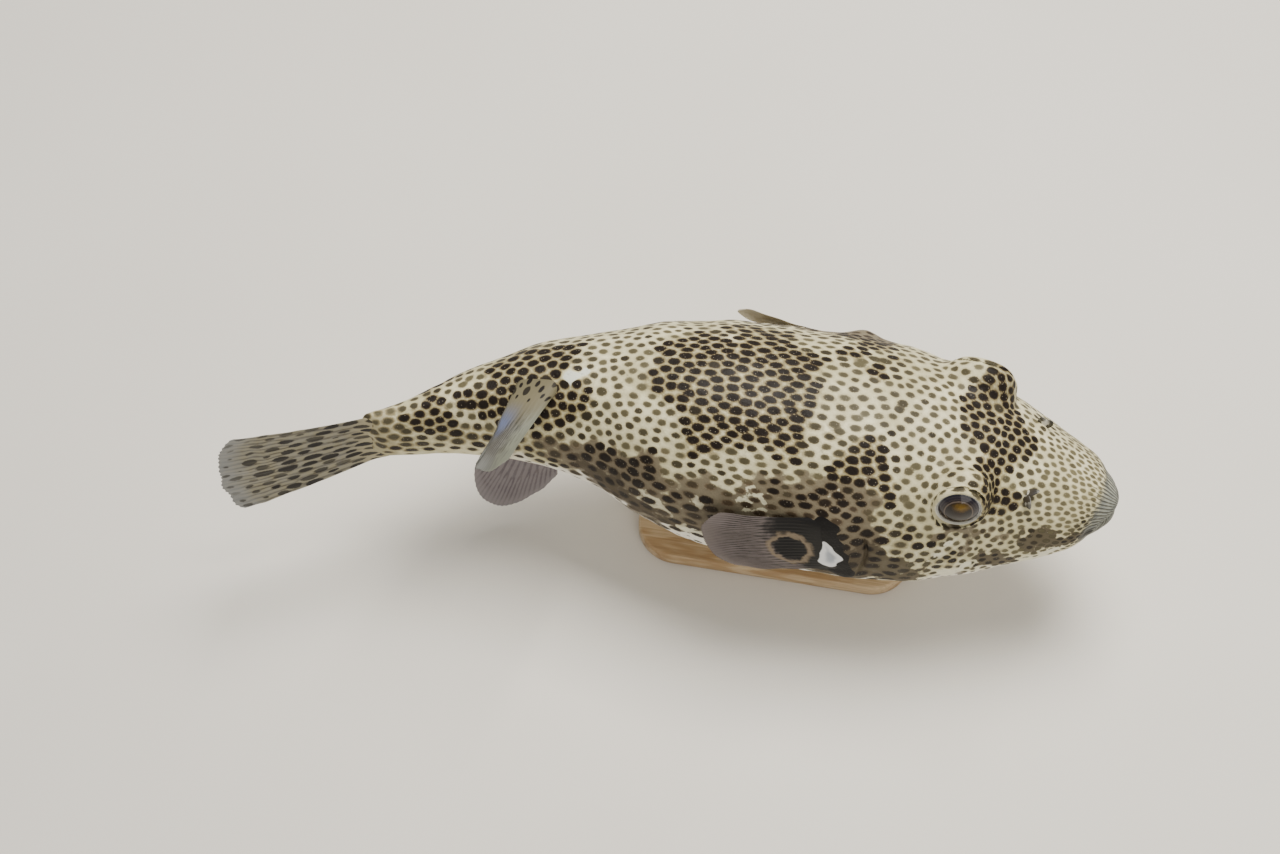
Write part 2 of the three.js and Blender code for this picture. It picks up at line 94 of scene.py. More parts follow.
# A fin's root runs between two points of the straight fish, and its rays are given in the frame's directions.
# Flesh is the root's half thickness, how far it reaches out, and how far its colour does. Spots are how much
# longer than broad they are, and their spacing across.
FINS = {
    "dorsal_fin": {
        "root": [[362, 0, 40], [394, 0, 36]],
        "rays": [[-28, -83, 12], [-25, -84, 26], [-6, -70, 29]],
        "curl": [0, 6, -22], "round": 0.14, "count": 11, "flesh": (5.4, 38, 46),
        "spots": (1.8, 5.6),
    },
    "anal_fin": {
        "root": [[372, 0, -38], [404, 0, -30]],
        "rays": [[2, -14, -56], [-22, -22, -74], [-32, -20, -46]],
        "curl": [0, 6, 0], "round": 0.32, "corner": 2.8, "count": 11, "flesh": (4.4, 16, 14),
    },
    "caudal_fin": {
        "root": [[483, 0, 27], [483, 0, -25]],
        "rays": [[-95, -45, 15], [-102, -48, -4], [-98, -51, -25]],
        "curl": [0, 8, 0], "round": 0.07, "count": 10, "flesh": (5.2, 20, 24), "spots": (2.9, 4.7),
    },
    "pectoral_fin_right": {
        "root": [[178, -65, 23], [166, -75, -24]],
        "rays": [[-84, -12, 5], [-86, -18, 2], [-70, -14, 2]],
        "curl": [0, 10, 0], "round": 0.12, "count": 18, "flesh": (6.2, 30, 30),
    },
    "pectoral_fin_left": {
        "root": [[178, 65, 23], [166, 75, -24]],
        "rays": [[-88, 19, -12], [-86, 25, -20], [-66, 23, -24]],
        "curl": [0, 6, 0], "round": 0.12, "count": 18, "flesh": (6.2, 30, 30),
    },
}
PECTORAL = {-1: FINS["pectoral_fin_right"], 1: FINS["pectoral_fin_left"]}
FIN_CORNER = 5  # how suddenly a fin's outer edge turns at its corners

# The skin's grid: finer steps on the head than behind it, and the same number of columns all along.
COLUMNS = 448
HEAD_STEP, BODY_STEP, FINE_UNTIL = 0.75, 1.1, 190
LONGEST_STEP, MOST_STEPS = 1.9, 4


# ---- The straight fish --------------------------------------------------------------------------------

def smooth(x, low, high):
    """0 below low, 1 above high and a smooth step between."""
    s = np.clip((x - low) / (high - low), 0, 1)
    return s * s * (3 - 2 * s)


def bell(x, width):
    return np.exp(-(x / width) ** 2)


def norm(vectors):
    return np.linalg.norm(vectors, axis=-1)


def unit(vectors):
    return vectors / np.linalg.norm(vectors, axis=-1, keepdims=True)


def parts(vectors):
    return vectors[..., 0], vectors[..., 1], vectors[..., 2]


def station(t, column):
    """A cubic curve through one column of the station table."""
    values, step = STATIONS[:, column], np.diff(STATION_T)
    rise = np.diff(values) / step
    inner = (rise[1:] * step[:-1] + rise[:-1] * step[1:]) / (step[1:] + step[:-1])
    slope = np.concatenate([rise[:1], inner, rise[-1:]])
    at = np.clip(t, SNOUT_FRONT, STEM_END)
    i = np.clip(np.searchsorted(STATION_T, at) - 1, 0, len(step) - 1)
    s = (at - STATION_T[i]) / step[i]
    start = (2 * s**3 - 3 * s**2 + 1) * values[i] + (s**3 - 2 * s**2 + s) * step[i] * slope[i]
    end = (3 * s**2 - 2 * s**3) * values[i + 1] + (s**3 - s**2) * step[i] * slope[i + 1]
    return start + end


def section(t, phi):
    """The point of the section at t, at an angle from the back (0) by the left side to the belly (pi)."""
    top, bottom, wide, half_width, above, below = (station(t, column) for column in range(1, 7))
    c, s = np.cos(phi), np.sin(phi)
    power = 2 / np.where(c >= 0, above, below)
    reach = np.where(c >= 0, top - wide, wide - bottom)
    setback = SETBACK_DEPTH * s**2 * np.exp(-np.maximum(t - SNOUT_FRONT, 0) / SETBACK_REACH)
    y = half_width * np.sign(s) * np.abs(s) ** power
    return np.stack([t + setback, y, wide + reach * np.sign(c) * np.abs(c) ** power], -1)


def nostril_foot(side):
    return section(np.array(59.0), np.array(side * math.radians(30)))


def eye_frame(side):
    """The middle of the eyeball, and the eye's outward, upward and forward directions."""
    outward = unit(EYE_AXIS * [1, side, 1])
    upward = unit(np.array([0, 0, 1.0]) - outward * outward[2])
    forward = np.cross(upward, outward) * side
    depth = EYE_HALF_DEPTH * math.sqrt(1 - (EYE_OPENING / EYE_RADIUS) ** 2)
    return EYE_CENTRE * [1, side, 1] - outward * depth, outward, upward, forward


def eye_place(points, side):
    """Distance from the eye's axis, height along it, and the angle round it from the top forwards."""
    ball, outward, upward, forward = eye_frame(side)
    away = points - ball
    across = np.stack([away @ upward, away @ forward], -1)
    return norm(across), away @ outward, np.arctan2(across[..., 1], across[..., 0])


def mound_distance(points):
    """How far a point lies outside the flattened mound round either eye, negative inside it."""
    distances = []
    for side in (1, -1):
        across, height, _ = eye_place(points, side)
        depth = np.where(height > 0, MOUND_OUTER, MOUND_INNER)
        scaled = np.hypot(across / MOUND_RADIUS, height / depth)
        slope = np.hypot(across / MOUND_RADIUS**2, height / depth**2)
        distances.append(scaled * (scaled - 1) / np.maximum(slope, 1e-9))
    return np.minimum(*distances)


def over_mounds(points):
    """Moves points outwards from the fish's axis onto the eye mounds, with a soft fillet where they meet."""
    hub = points * [1, 0, 0] + station(points[..., 0], 3)[..., None] * [0, 0, 1]
    ray = points - hub
    reach = norm(ray)

    def outside(s):
        body = reach * (s - 1)
        mound = mound_distance(hub + ray * s[..., None])
        near = np.maximum(MOUND_BLEND - np.abs(body - mound), 0) / MOUND_BLEND
        return np.minimum(body, mound) - near**2 * MOUND_BLEND / 4

    inner, outer = np.ones(reach.shape), np.full(reach.shape, MOUND_SEARCH)
    for _ in range(HALVINGS):
        middle = (inner + outer) / 2
        within = outside(middle) < 0
        inner, outer = np.where(within, middle, inner), np.where(within, outer, middle)
    moved = np.where(outside(np.ones(reach.shape)) > -1e-6, 1.0, inner)
    return hub + ray * moved[..., None]


def turn(t):
    head = HEAD_TURN["degrees"] * (1 - smooth(t, HEAD_TURN["from"], HEAD_TURN["to"]))
    return np.radians(head + TAIL_TURN["degrees"] * smooth(t, TAIL_TURN["from"], TAIL_TURN["to"]))


# The bent axis, walked in short steps.
AXIS_STEP = 0.5
AXIS_T = np.arange(-20, STEM_END + 60, AXIS_STEP)
_angles = turn(AXIS_T[:-1] + AXIS_STEP / 2)
AXIS_X = np.concatenate([[0], np.cumsum(-np.cos(_angles) * AXIS_STEP)])
AXIS_Y = np.concatenate([[0], np.cumsum(np.sin(_angles) * AXIS_STEP)])
AXIS_X -= np.interp(0, AXIS_T, AXIS_X)
AXIS_Y -= np.interp(0, AXIS_T, AXIS_Y)


def bend(points):
    """From the straight fish to the pose, in millimetres about the snout tip."""
    t, y, z = parts(np.asarray(points, float))
    angle = turn(t)
    x = np.interp(t, AXIS_T, AXIS_X) + y * np.sin(angle)
    return np.stack([x, np.interp(t, AXIS_T, AXIS_Y) + y * np.cos(angle), z], -1)


def fin_point(fin, u, v):
    """A posed point of a fin's middle surface: u runs from root to edge, v from first ray to last."""
    ends = bend(np.array(fin["root"], float))
    root = ends[0] + (ends[1] - ends[0]) * v[..., None]
    first, middle, last = np.array(fin["rays"], float)
    weights = [(1 - v) * (1 - 2 * v), 4 * v * (1 - v), v * (2 * v - 1)]
    ray = sum(w[..., None] * r for w, r in zip(weights, (first, middle, last)))
    along = u * (1 - fin["round"] * np.abs(2 * v - 1) ** fin.get("corner", FIN_CORNER))
    return root + ray * along[..., None] + np.array(fin["curl"]) * (along**2 - along)[..., None]


# The snout tip's place in the frame, found from the middle of the left eyeball.
_low, _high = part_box("eye_left")
SNOUT_TIP = np.array((_low + _high) / 2) - bend(eye_frame(1)[0]) * MM


def to_frame(posed):
    return SNOUT_TIP + posed * MM


# ---- Skin: the grid -----------------------------------------------------------------------------------

def lip_ring(phi, around):
    """A ring of the roll of the lips: around is 0 at its outer side, a right angle at its front."""
    roll = MOUTH["roll"] + (MOUTH["corner_roll"] - MOUTH["roll"]) * np.sin(phi) ** 2
    out = unit(np.stack([np.sin(phi) / MOUTH["half_width"], np.cos(phi) / MOUTH["half_height"]], -1))
    t = MOUTH["t"] + SETBACK_DEPTH * np.sin(phi) ** 2 - roll * math.sin(around)
    y = MOUTH["half_width"] * np.sin(phi) + out[:, 0] * roll * math.cos(around)
    z = MOUTH["z"] + MOUTH["half_height"] * np.cos(phi) + out[:, 1] * roll * math.cos(around)
    return np.stack([t, y, z], -1)


def throat_ring(phi, t, half_width, half_height):
    return np.stack([t + 0 * phi, half_width * np.sin(phi), MOUTH["z"] + half_height * np.cos(phi)], -1)


def smooth_rows(rings, counts):
    """Rows of points on smooth curves through the rings, with that many rows after each ring."""
    rows = []
    for k, count in enumerate(counts):
        before, start = rings[max(k - 1, 0)], rings[k]
        end, after = rings[k + 1], rings[min(k + 2, len(rings) - 1)]
        for s in np.arange(count) / count:
            rows.append(0.5 * (2 * start + (end - before) * s
                               + (2 * before - 5 * start + 4 * end - after) * s**2
                               + (3 * start - before - 3 * end + after) * s**3))
    return rows


def ring_quads(index):
    """The quads between closed rings of vertices, one ring in each row of index."""
    turned = np.roll(index, -1, 1)
    return np.stack([index[:-1], index[1:], turned[1:], turned[:-1]], -1).reshape(-1, 4)


PHI = np.linspace(-math.pi, math.pi, COLUMNS, endpoint=False)
MERGE_T = 15  # where the curves of the lips run into the sections
WEDGE = 13  # how far the stem's muscle reaches over the tail fin

front_rings = [
    throat_ring(PHI, 24, 3, 0.5),
    throat_ring(PHI, 15, 11, 1.2),
    *(lip_ring(PHI, math.radians(around)) for around in (205, 160, 115, 70, 28)),
    section(np.full(COLUMNS, 8.2), PHI) * [1, 0.975, 1] + [0, 0, 0.1],
    *(section(np.full(COLUMNS, t), PHI) for t in (11.0, MERGE_T, MERGE_T + 4.0)),
]
front_rows = smooth_rows(front_rings, [5, 6, 6, 7, 7, 6, 5, 5, 6])
head_t = np.arange(MERGE_T, FINE_UNTIL, HEAD_STEP)
body_t = np.linspace(FINE_UNTIL, STEM_END, round((STEM_END - FINE_UNTIL) / BODY_STEP))
row_t = np.concatenate([head_t, body_t])
body_rows = section(row_t[:, None] + 0 * PHI, PHI + 0 * row_t[:, None])
near_eyes = np.abs(row_t - EYE_CENTRE[0]) < 45
body_rows[near_eyes] = over_mounds(body_rows[near_eyes])

# The stem's muscle thins out to a wedge over the root of the tail fin.
stem_end = body_rows[-1]
stem_middle = np.array([0, 0, (STATIONS[-1, 1] + STATIONS[-1, 2]) / 2])
end_rows = []
for s in np.linspace(0, 1, 25)[1:]:
    thin = 1 - 0.9 * smooth(s, 0, 1) ** 0.8
    tall = (1 + 0.09 * s) * math.sqrt(1 - s**10 * 0.9)
    lobes = 1 - 0.12 * s * np.cos(np.cos(PHI) * 10) - 0.3 * s * np.cos(PHI) ** 4
    end_rows.append(np.stack([
        stem_end[:, 0] + WEDGE * s * lobes, stem_end[:, 1] * thin,
        stem_middle[2] + (stem_end[:, 2] - stem_middle[2]) * tall,
    ], -1))


def finer(rows, first):
    """Adds rows wherever the step to the next row is long, from a first row on."""
    longest = norm(np.diff(rows, axis=0)).max(1)
    kept = list(rows[:first])
    for i in range(first, len(rows) - 1):
        count = min(math.ceil(longest[i] / LONGEST_STEP), MOST_STEPS)
        kept += [rows[i] + (rows[i + 1] - rows[i]) * k / count for k in range(count)]
    return np.array(kept + [rows[-1]])


straight = finer(np.concatenate([front_rows, body_rows, end_rows]), len(front_rows))
ROWS = len(straight)
LIP_ROW = 17  # the foremost row of the lips

# How far each row lies from the front of the lips, along the skin, backwards positive.
run_of_row = np.concatenate([[0], np.cumsum(norm(np.diff(straight, axis=0)).mean(1))])
run_of_row -= run_of_row[LIP_ROW]


# ---- Skin: folds and swellings ------------------------------------------------------------------------

WAVES = 14  # how many plane waves add up to the noise


def waves(points, size, seed):
    """Smooth seeded noise of about unit strength, with features of that size in millimetres."""
    rng = np.random.default_rng(seed)
    directions = unit(rng.normal(size=(WAVES, 3)))
    lengths = size * rng.uniform(0.7, 1.5, WAVES)
    phases = rng.uniform(0, 2 * math.pi, WAVES)
    total = sum(np.sin(points @ direction * (2 * math.pi / length) + phase)
                for direction, length, phase in zip(directions, lengths, phases))
    return total * math.sqrt(2 / WAVES)


def segment_distance(points, start, end):
    start, end = np.asarray(start, float), np.asarray(end, float)
    along = end - start
    s = np.clip((points - start) @ along / (along @ along), 0, 1)
    return norm(points - start - s[..., None] * along)


MARK_CORNERS = 0.7  # the lower, the rounder the white mark's corners


def root_mark(posed, side):
    """How deep each posed point lies in the white mark at the foot of a pectoral fin, negative outside it."""
    on_fin = [fin_point(PECTORAL[side], np.array(u), np.array(v)) for u, v in ((0.14, 0.9), (0.22, 0.82))]
    corners = np.array([bend([184, side * 76, 9]), bend([171, side * 80, -6]), *on_fin])[:, [0, 2]]
    depths = []
    for start, end in zip(corners, np.roll(corners, -1, 0)):
        inwards = unit(np.array([-(end - start)[1], (end - start)[0]]))
        inwards *= np.sign((corners.mean(0) - start) @ inwards)
        depths.append((posed[..., [0, 2]] - start) @ inwards)
    rounded = -np.log(np.exp(-MARK_CORNERS * np.array(depths)).sum(0)) / MARK_CORNERS
    return rounded + 1.3 + 0.35 * waves(posed, 9, 61)


def lip_folds(points):
    """Waves from -1 to 1 that fan out from the mouth."""
    _, y, z = parts(points)
    return np.sin(np.arctan2(y, z - MOUTH["z"]) * 46 + 1.2 * waves(points, 14, 3))


def relief(points, run):
    """How far the skin stands out or in at each point of the straight fish."""
    t, y, z = parts(points)
    out = 0.35 * waves(points, 42, 1) * smooth(t, 20, 60)
    out += 0.10 * waves(points, 9, 2) * smooth(t, 12, 40)

    # The crease behind the lips and fine folds that fan out from them.
    out -= 0.75 * bell(run - 8.2, 1.5) * smooth(run, 3, 6)
    out += 0.16 * lip_folds(points) * bell(run - 9, 7) * smooth(run, 3, 7)

    for side in (1, -1):
        flank = smooth(side * y, 5, 20)
        # Gill slit, a short curved cut with a soft rim, in front of the pectoral fin.
        from_slit = t - (161 - 5 * (1 - ((z + 3) / 20) ** 2))
        slit_span = smooth(z, -22, -14) * (1 - smooth(z, 8, 16)) * flank
        out += slit_span * (-2.6 * bell(from_slit, 1.2) + 0.6 * bell(from_slit + 4, 3))
        # The muscle at the root of the pectoral fin.
        out += 4.5 * bell(segment_distance(points, *PECTORAL[side]["root"]), 10)
        # A hollow in front of each eye, and folds above and behind it.
        across, height, angle = eye_place(points, side)
        near = smooth(height, -26, -8)
        forward = np.cos(angle - math.radians(75))
        out -= 1.1 * bell(across - 25.5, 2.2) * smooth(forward, 0.1, 0.9) * near
        upper = smooth(np.cos(angle + math.radians(8)), 0.1, 0.8)
        for distance, depth in ((19.6, 0.7), (22.4, 0.6), (25.4, 0.45)):
            out -= depth * bell(across - distance, 0.7) * upper * near
        # The low swelling that carries the nostril.
        out += 1.8 * bell(norm(points - nostril_foot(side)), 4.2)
        # A soft groove from the mouth's corner along the jaw.
        jaw = z - (-19 - 0.22 * t)
        out -= 0.9 * bell(jaw, 2.2) * smooth(t, 12, 20) * (1 - smooth(t, 38, 62)) * flank

    # Muscle at the roots of the middle fins, and the vent just in front of the anal fin.
    for name, edge, width, height in (("dorsal_fin", 1, 9, 1.8), ("anal_fin", 2, 8, 3.0)):
        ends = np.array(FINS[name]["root"], float)
        ends[:, 2] = station(ends[:, 0], edge)
        out += height * bell(segment_distance(points, *ends), width)
    vent = np.array([352.0, 0, float(station(np.array(352.0), 2))])
    from_vent = norm((points - vent) * [0.6, 1, 1])
    out += 1.6 * bell(from_vent - 4.5, 2) - 2.2 * bell(from_vent, 2.2)

    # Low folds that run along the edge of the belly behind the pectoral fins.
    belly_edge = (np.abs(y) - 0.66 * station(t, 4)) + 0.35 * waves(points, 60, 4)
    folds = bell(belly_edge, 2.0) + 0.7 * bell(belly_edge + 8, 2.4)
    return out - 0.55 * folds * (z < station(t, 3)) * smooth(t, 225, 260) * (1 - smooth(t, 350, 400))


# ---- Skin: lids ---------------------------------------------------------------------------------------

LID_OUTER = 19.0  # inside this distance from the eye's axis, rings of the lid take over from the grid
LID_RINGS = 22
EASING_ROUNDS = 16


def lid_edge(angle):
    """The upper lid's share at an angle round the eye, and how far the lids' edge is from the eye's axis."""
    upper = smooth(np.cos(angle + math.radians(12)), -0.3, 0.9)
    return upper, EYE_OPENING + 0.5 - 0.5 * upper


def lid_profile(share, angle, start_across, start_height):
    """Distance from the eye's axis and height of a lid's ring: the skin round it is share 0, then come its
    rim and, at share 1, a pocket in the eyeball."""
    upper, edge = lid_edge(angle)
    ball_height = EYE_HALF_DEPTH * np.sqrt(1 - (edge / EYE_RADIUS) ** 2)
    rim = ball_height + 1.5 + 0.4 * upper
    keys = [
        (0.00, start_across, start_height),
        (0.30, edge + 3.2, start_height * 0.45 + (rim - 0.7) * 0.55),
        (0.45, edge + 1.9, rim - 0.25),
        (0.58, edge + 1.1, rim),
        (0.68, edge + 0.35, rim - 0.45),
        (0.76, edge, ball_height + 0.3),
        (0.84, edge - 0.2, ball_height - 1.0),
        (0.92, edge * 0.7, ball_height - 1.5),
        (1.00, edge * 0.1, ball_height - 1.0),
    ]
    for (s0, a0, h0), (s1, a1, h1) in zip(keys, keys[1:]):
        if share <= s1:
            s = (share - s0) / (s1 - s0)
            return a0 + (a1 - a0) * s, h0 + (h1 - h0) * s


def boundary_loop(removed):
    """The vertices round the hole that the removed faces leave, in order."""
    edges = {(int(a), int(b)) for quad in removed for a, b in zip(quad, np.roll(quad, -1))}
    border = {b: a for a, b in edges if (b, a) not in edges}
    loop = [next(iter(border))]
    while border[loop[-1]] != loop[0]:
        loop.append(border[loop[-1]])
    return loop


flat = straight.reshape(-1, 3)
index = np.arange(len(flat)).reshape(ROWS, COLUMNS)
faces = ring_quads(index)
points = list(flat)
coordinates = [np.stack([np.repeat(run_of_row, COLUMNS), np.tile(PHI, ROWS)], -1)]
lid_share = [np.zeros(len(flat))]
extra_faces = []


def close_ring(ring, middle, place, share, flip=False):
    """Closes a ring of vertices on one new point."""
    for a, b in zip(ring, np.roll(ring, -1)):
        extra_faces.append([b, a, len(points)] if flip else [a, b, len(points)])
    points.append(middle)
    coordinates.append(place[None])
    lid_share.append([share])


for side in (1, -1):
    ball, outward, upward, forward = eye_frame(side)
    across, height, _ = eye_place(flat, side)
    covered = (across < LID_OUTER) & (height > -2) & (np.abs(flat[:, 0] - EYE_CENTRE[0]) < 30)
    removed = covered[faces].all(1)
    loop = boundary_loop(faces[removed])
    faces = faces[~removed]
    at = flat[loop]
    across, height, angle = eye_place(at, side)
    for _ in range(3):
        height = (np.roll(height, 1) + 2 * height + np.roll(height, -1)) / 4
    place = coordinates[0][loop]
    middle = place.mean(0)
    previous = np.array(loop)
    for k in range(1, LID_RINGS + 1):
        share = k / LID_RINGS
        ring_across, ring_height = lid_profile(share, angle, across, height)
        ring = (ball + outward * ring_height[:, None]
                + upward * (ring_across * np.cos(angle))[:, None]
                + forward * (ring_across * np.sin(angle))[:, None])
        current = len(points) + np.arange(len(loop))
        points.extend(ring)
        coordinates.append(place + (middle - place) * share)
        lid_share.append(np.full(len(loop), share))
        extra_faces.extend(np.stack([previous, np.roll(previous, -1), np.roll(current, -1), current], -1))
        previous = current
    close_ring(previous, ring.mean(0), middle, 1.0)

# The two ends of the grid close on a point each.
close_ring(index[0], flat[index[0]].mean(0), coordinates[0][index[0]].mean(0), 0.0)
close_ring(index[-1], flat[index[-1]].mean(0), coordinates[0][index[-1]].mean(0), 0.0, flip=True)

points = np.array(points)
run, phi = np.concatenate(coordinates).T
lid_share = np.concatenate(lid_share)
quads = np.array([f for f in extra_faces if len(f) == 4])
triangles = np.array([f for f in extra_faces if len(f) == 3])
quads = np.concatenate([faces, quads])

# The skin is eased where the lids meet the grid and at the feet of the eye mounds.
edges = np.concatenate([quads[:, [k, (k + 1) % 4]] for k in range(4)])
edges = np.unique(np.sort(edges, 1), axis=0)
ease = np.zeros(len(points))
for side in (1, -1):
    across, height, _ = eye_place(points, side)
    near = (side * points[:, 1] > 0) & (np.abs(points[:, 0] - EYE_CENTRE[0]) < 45)
    join = bell(across - LID_OUTER - 0.5, 2.0) * smooth(height, -12, -4)
    foot = 0.6 * (1 - smooth(across, 30, 36)) * smooth(height, -34, -22)
    ease = np.maximum(ease, near * np.maximum(join, foot))
ease *= 1 - smooth(lid_share, 0.12, 0.3)
edges = edges[(ease[edges] > 0.01).any(1)]
valence = np.maximum(np.bincount(edges.ravel(), minlength=len(points)), 1)
for _ in range(EASING_ROUNDS):
    total = np.zeros_like(points)
    np.add.at(total, edges[:, 0], points[edges[:, 1]])
    np.add.at(total, edges[:, 1], points[edges[:, 0]])
    points += (total / valence[:, None] - points) * (0.6 * ease * (valence > 1))[:, None]

# Relief along the normals, but none on the rims of the lids.
normals = np.zeros_like(points)
for group in (quads, triangles):
    at = points[group]
    face_normals = np.cross(at[:, 2] - at[:, 0], at[:, -1] - at[:, 1])
    for corner in group.T:
        np.add.at(normals, corner, face_normals)
normals /= np.maximum(norm(normals), 1e-9)[:, None]
from_axis = points - np.stack([points[:, 0], 0 * run, station(points[:, 0], 3)], -1)
if np.median((normals * from_axis).sum(1)) < 0:
    normals = -normals
points += normals * (relief(points, run) * (1 - smooth(lid_share, 0.1, 0.4)))[:, None]

# ---- Skin: spots --------------------------------------------------------------------------------------

# The spots' sizes follow a few bands along the body: run, spacing across the body, and how much longer
# the spacing is along it.
BANDS = np.array([
    [-12, 2.2, 3.8], [10, 2.3, 3.8], [20, 2.6, 3.4], [34, 3.2, 2.4], [55, 4.2, 1.7], [78, 5.5, 1.4],
    [105, 5.6, 1.35], [140, 5.7, 1.4], [180, 5.8, 1.5], [230, 5.3, 1.8], [310, 5.5, 1.6], [360, 6.2, 1.4],
    [440, 6.6, 1.2], [520, 5.6, 1.35],
])
FAN_T = 16.0  # round the lips the spots are laid out as a fan, as wide as the section here
FIRST_SPOT_ROW = 12  # of the grid, just inside the lips


def regions(t, angle, patches, edge=0.35):
    """A patch's strength inside oval patches of skin and 0 outside them, with edges of that softness."""
    total = 0
    for at_t, at_angle, half_t, half_angle, *strength in patches:
        off = (angle - at_angle + 180) % 360 - 180
        inside = 1 - smooth(np.hypot((t - at_t) / half_t, off / half_angle), 1 - edge, 1 + edge)
        total = np.maximum(total, inside * (strength[0] if strength else 1))
    return total


# Patches of the skin: t, angle from the back in degrees (right is negative), half length, half angle, and
# their strength where it isn't 1.
DARK_PATCHES = [
    (253, -1, 54, 37), (384, -8, 38, 50), (450, -28, 17, 42), (452, 45, 15, 25, 0.8), (163, 14, 12, 10, 0.9),
    (168, -30, 20, 12, 0.9), (186, -50, 26, 8, 0.7), (89, 5, 15, 30, 0.9), (75, -8, 15, 22, 0.9),
    (82, -20, 16, 14, 0.9), (76, -38, 14, 12, 0.85), (88, 52, 12, 18, 0.8), (205, -52, 26, 8, 0.6),
    (322, -62, 26, 12, 0.8), (140, -52, 16, 9, 0.5), (106, -70, 15, 9, 0.5), (158, -66, 26, 11, 0.55),
    (182, 42, 20, 16, 0.9), (225, 60, 30, 9, 0.7), (320, 62, 28, 14, 0.8), (120, 64, 16, 12, 0.6),
]
SMUDGES = [
    (328, -90, 32, 16), (284, -94, 18, 11, 0.8), (158, -86, 42, 12), (200, -94, 20, 9, 0.8), (50, -66, 13, 9),
    (36, -70, 14, 10), (24, -78, 13, 11), (70, -90, 17, 9), (228, -104, 26, 8, 0.7), (322, 88, 30, 15),
    (266, 94, 20, 10, 0.8), (160, 88, 40, 12), (46, 68, 18, 9), (24, 80, 11, 10, 0.9), (78, 98, 17, 9, 0.9),
    (210, 112, 24, 8, 0.6), (120, 168, 26, 16, 0.6), (250, -150, 30, 14, 0.6), (300, 150, 24, 14, 0.5),
]
PALE_PATCHES = [
    (99, -90, 17, 12, 1.8), (44, -90, 20, 11, 1.8), (232, -64, 18, 5, 1.1), (294, -78, 14, 10, 1.1),
    (262, -90, 18, 12, 1.5), (200, -112, 18, 8), (182, -50, 10, 5, 0.8), (146, -62, 10, 6, 0.8),
    (124, -66, 12, 8, 0.9), (106, 92, 16, 11, 1.6), (48, 94, 18, 12, 1.6), (236, 66, 18, 6, 1.2),
    (292, 78, 14, 9, 1.2), (252, 90, 18, 10, 1.5), (150, 60, 10, 6, 0.8), (196, 114, 18, 8),
]
VEILS = [
    (190, -68, 38, 28), (236, -74, 46, 20), (326, -82, 46, 28), (188, 72, 38, 27), (236, 76, 42, 19),
    (326, 84, 44, 26), (92, -62, 16, 9, 0.6), (92, 62, 16, 9, 0.6),
]


def pattern_points(positions, run):
    """Where the spots are laid out: lengths along the body are shortened, so that spots come out longer."""
    fine = np.linspace(-60, 560, 1241)
    along = np.concatenate([[0], np.cumsum(np.diff(fine) / np.interp(fine, BANDS[:, 0], BANDS[:, 2])[1:])])
    _, y, z = parts(positions)
    angle = np.arctan2(y, z - MOUTH["z"])
    reach = station(np.array(FAN_T), 4)
    blend = smooth(run, 12, 26)[:, None]
    fanned = np.stack([reach * 0.95 * np.sin(angle), MOUTH["z"] + reach * 0.66 * np.cos(angle)], -1)
    across = fanned * (1 - blend) + positions[:, 1:] * blend
    placed = np.concatenate([np.interp(run, fine, along)[:, None], across], 1)
    # Round the upper side of each eye the spots are squeezed into rows along the lid.
    for side in (1, -1):
        _, _, upward, forward = eye_frame(side)
        away, height, angle = eye_place(positions, side)
        squeeze = 5 * (smooth(away, 12, 30) - 1) * smooth(np.cos(angle), -0.4, 0.5)
        direction = upward * np.cos(angle)[:, None] + forward * np.sin(angle)[:, None]
        placed += direction * (squeeze * smooth(height, -24, -6) * (away < 40))[:, None]
    return placed


def spacing(t, angle, run):
    across = np.interp(run, BANDS[:, 0], BANDS[:, 1])
    lower = smooth(np.abs(angle), 46, 74) * smooth(t, 90, 160)
    belly = smooth(np.abs(angle), 105, 140) * smooth(t, 30, 80)
    return across * (1 + 0.42 * lower) * (1 + 0.3 * belly)


def tree_of(points):
    tree = kdtree.KDTree(len(points))
    for i, p in enumerate(points):
        tree.insert(p, i)
    tree.balance()
    return tree


CLOSEST = 0.86  # no two centres are first chosen nearer than this share of a gap
EVENING_ROUNDS = 3


def scatter(samples, gaps, seed):
    """Centres spread evenly over the sample points, about a gap apart, where the gap differs by place."""
    rng = np.random.default_rng(seed)
    tree = tree_of(samples)
    free = np.ones(len(samples), bool)
    chosen = []
    for i in rng.permutation(len(samples)):
        if free[i]:
            chosen.append(i)
            near = [found[1] for found in tree.find_range(samples[i], gaps[i] * CLOSEST)]
            free[near] = False
    centres = samples[chosen]
    for _ in range(EVENING_ROUNDS):
        of_centre = tree_of(centres)
        owner = np.array([of_centre.find(p)[1] for p in samples])
        weight = 1 / gaps**2
        total = np.bincount(owner, weight, len(centres))
        mean = np.stack([np.bincount(owner, weight * samples[:, k], len(centres)) for k in range(3)], -1)
        mean /= np.maximum(total, 1e-9)[:, None]
        chosen = sorted({tree.find(m)[1] for m, w in zip(mean, total) if w > 0})
        centres = samples[chosen]
    return np.array(chosen)


ROUNDNESS = 5.5  # the lower, the rounder the spots' corners
NEAREST_CENTRES = 5
FIELD_SHIFT, FIELD_RANGE = 0.08, 0.83  # from 0 half-way between two centres to 1 at a centre


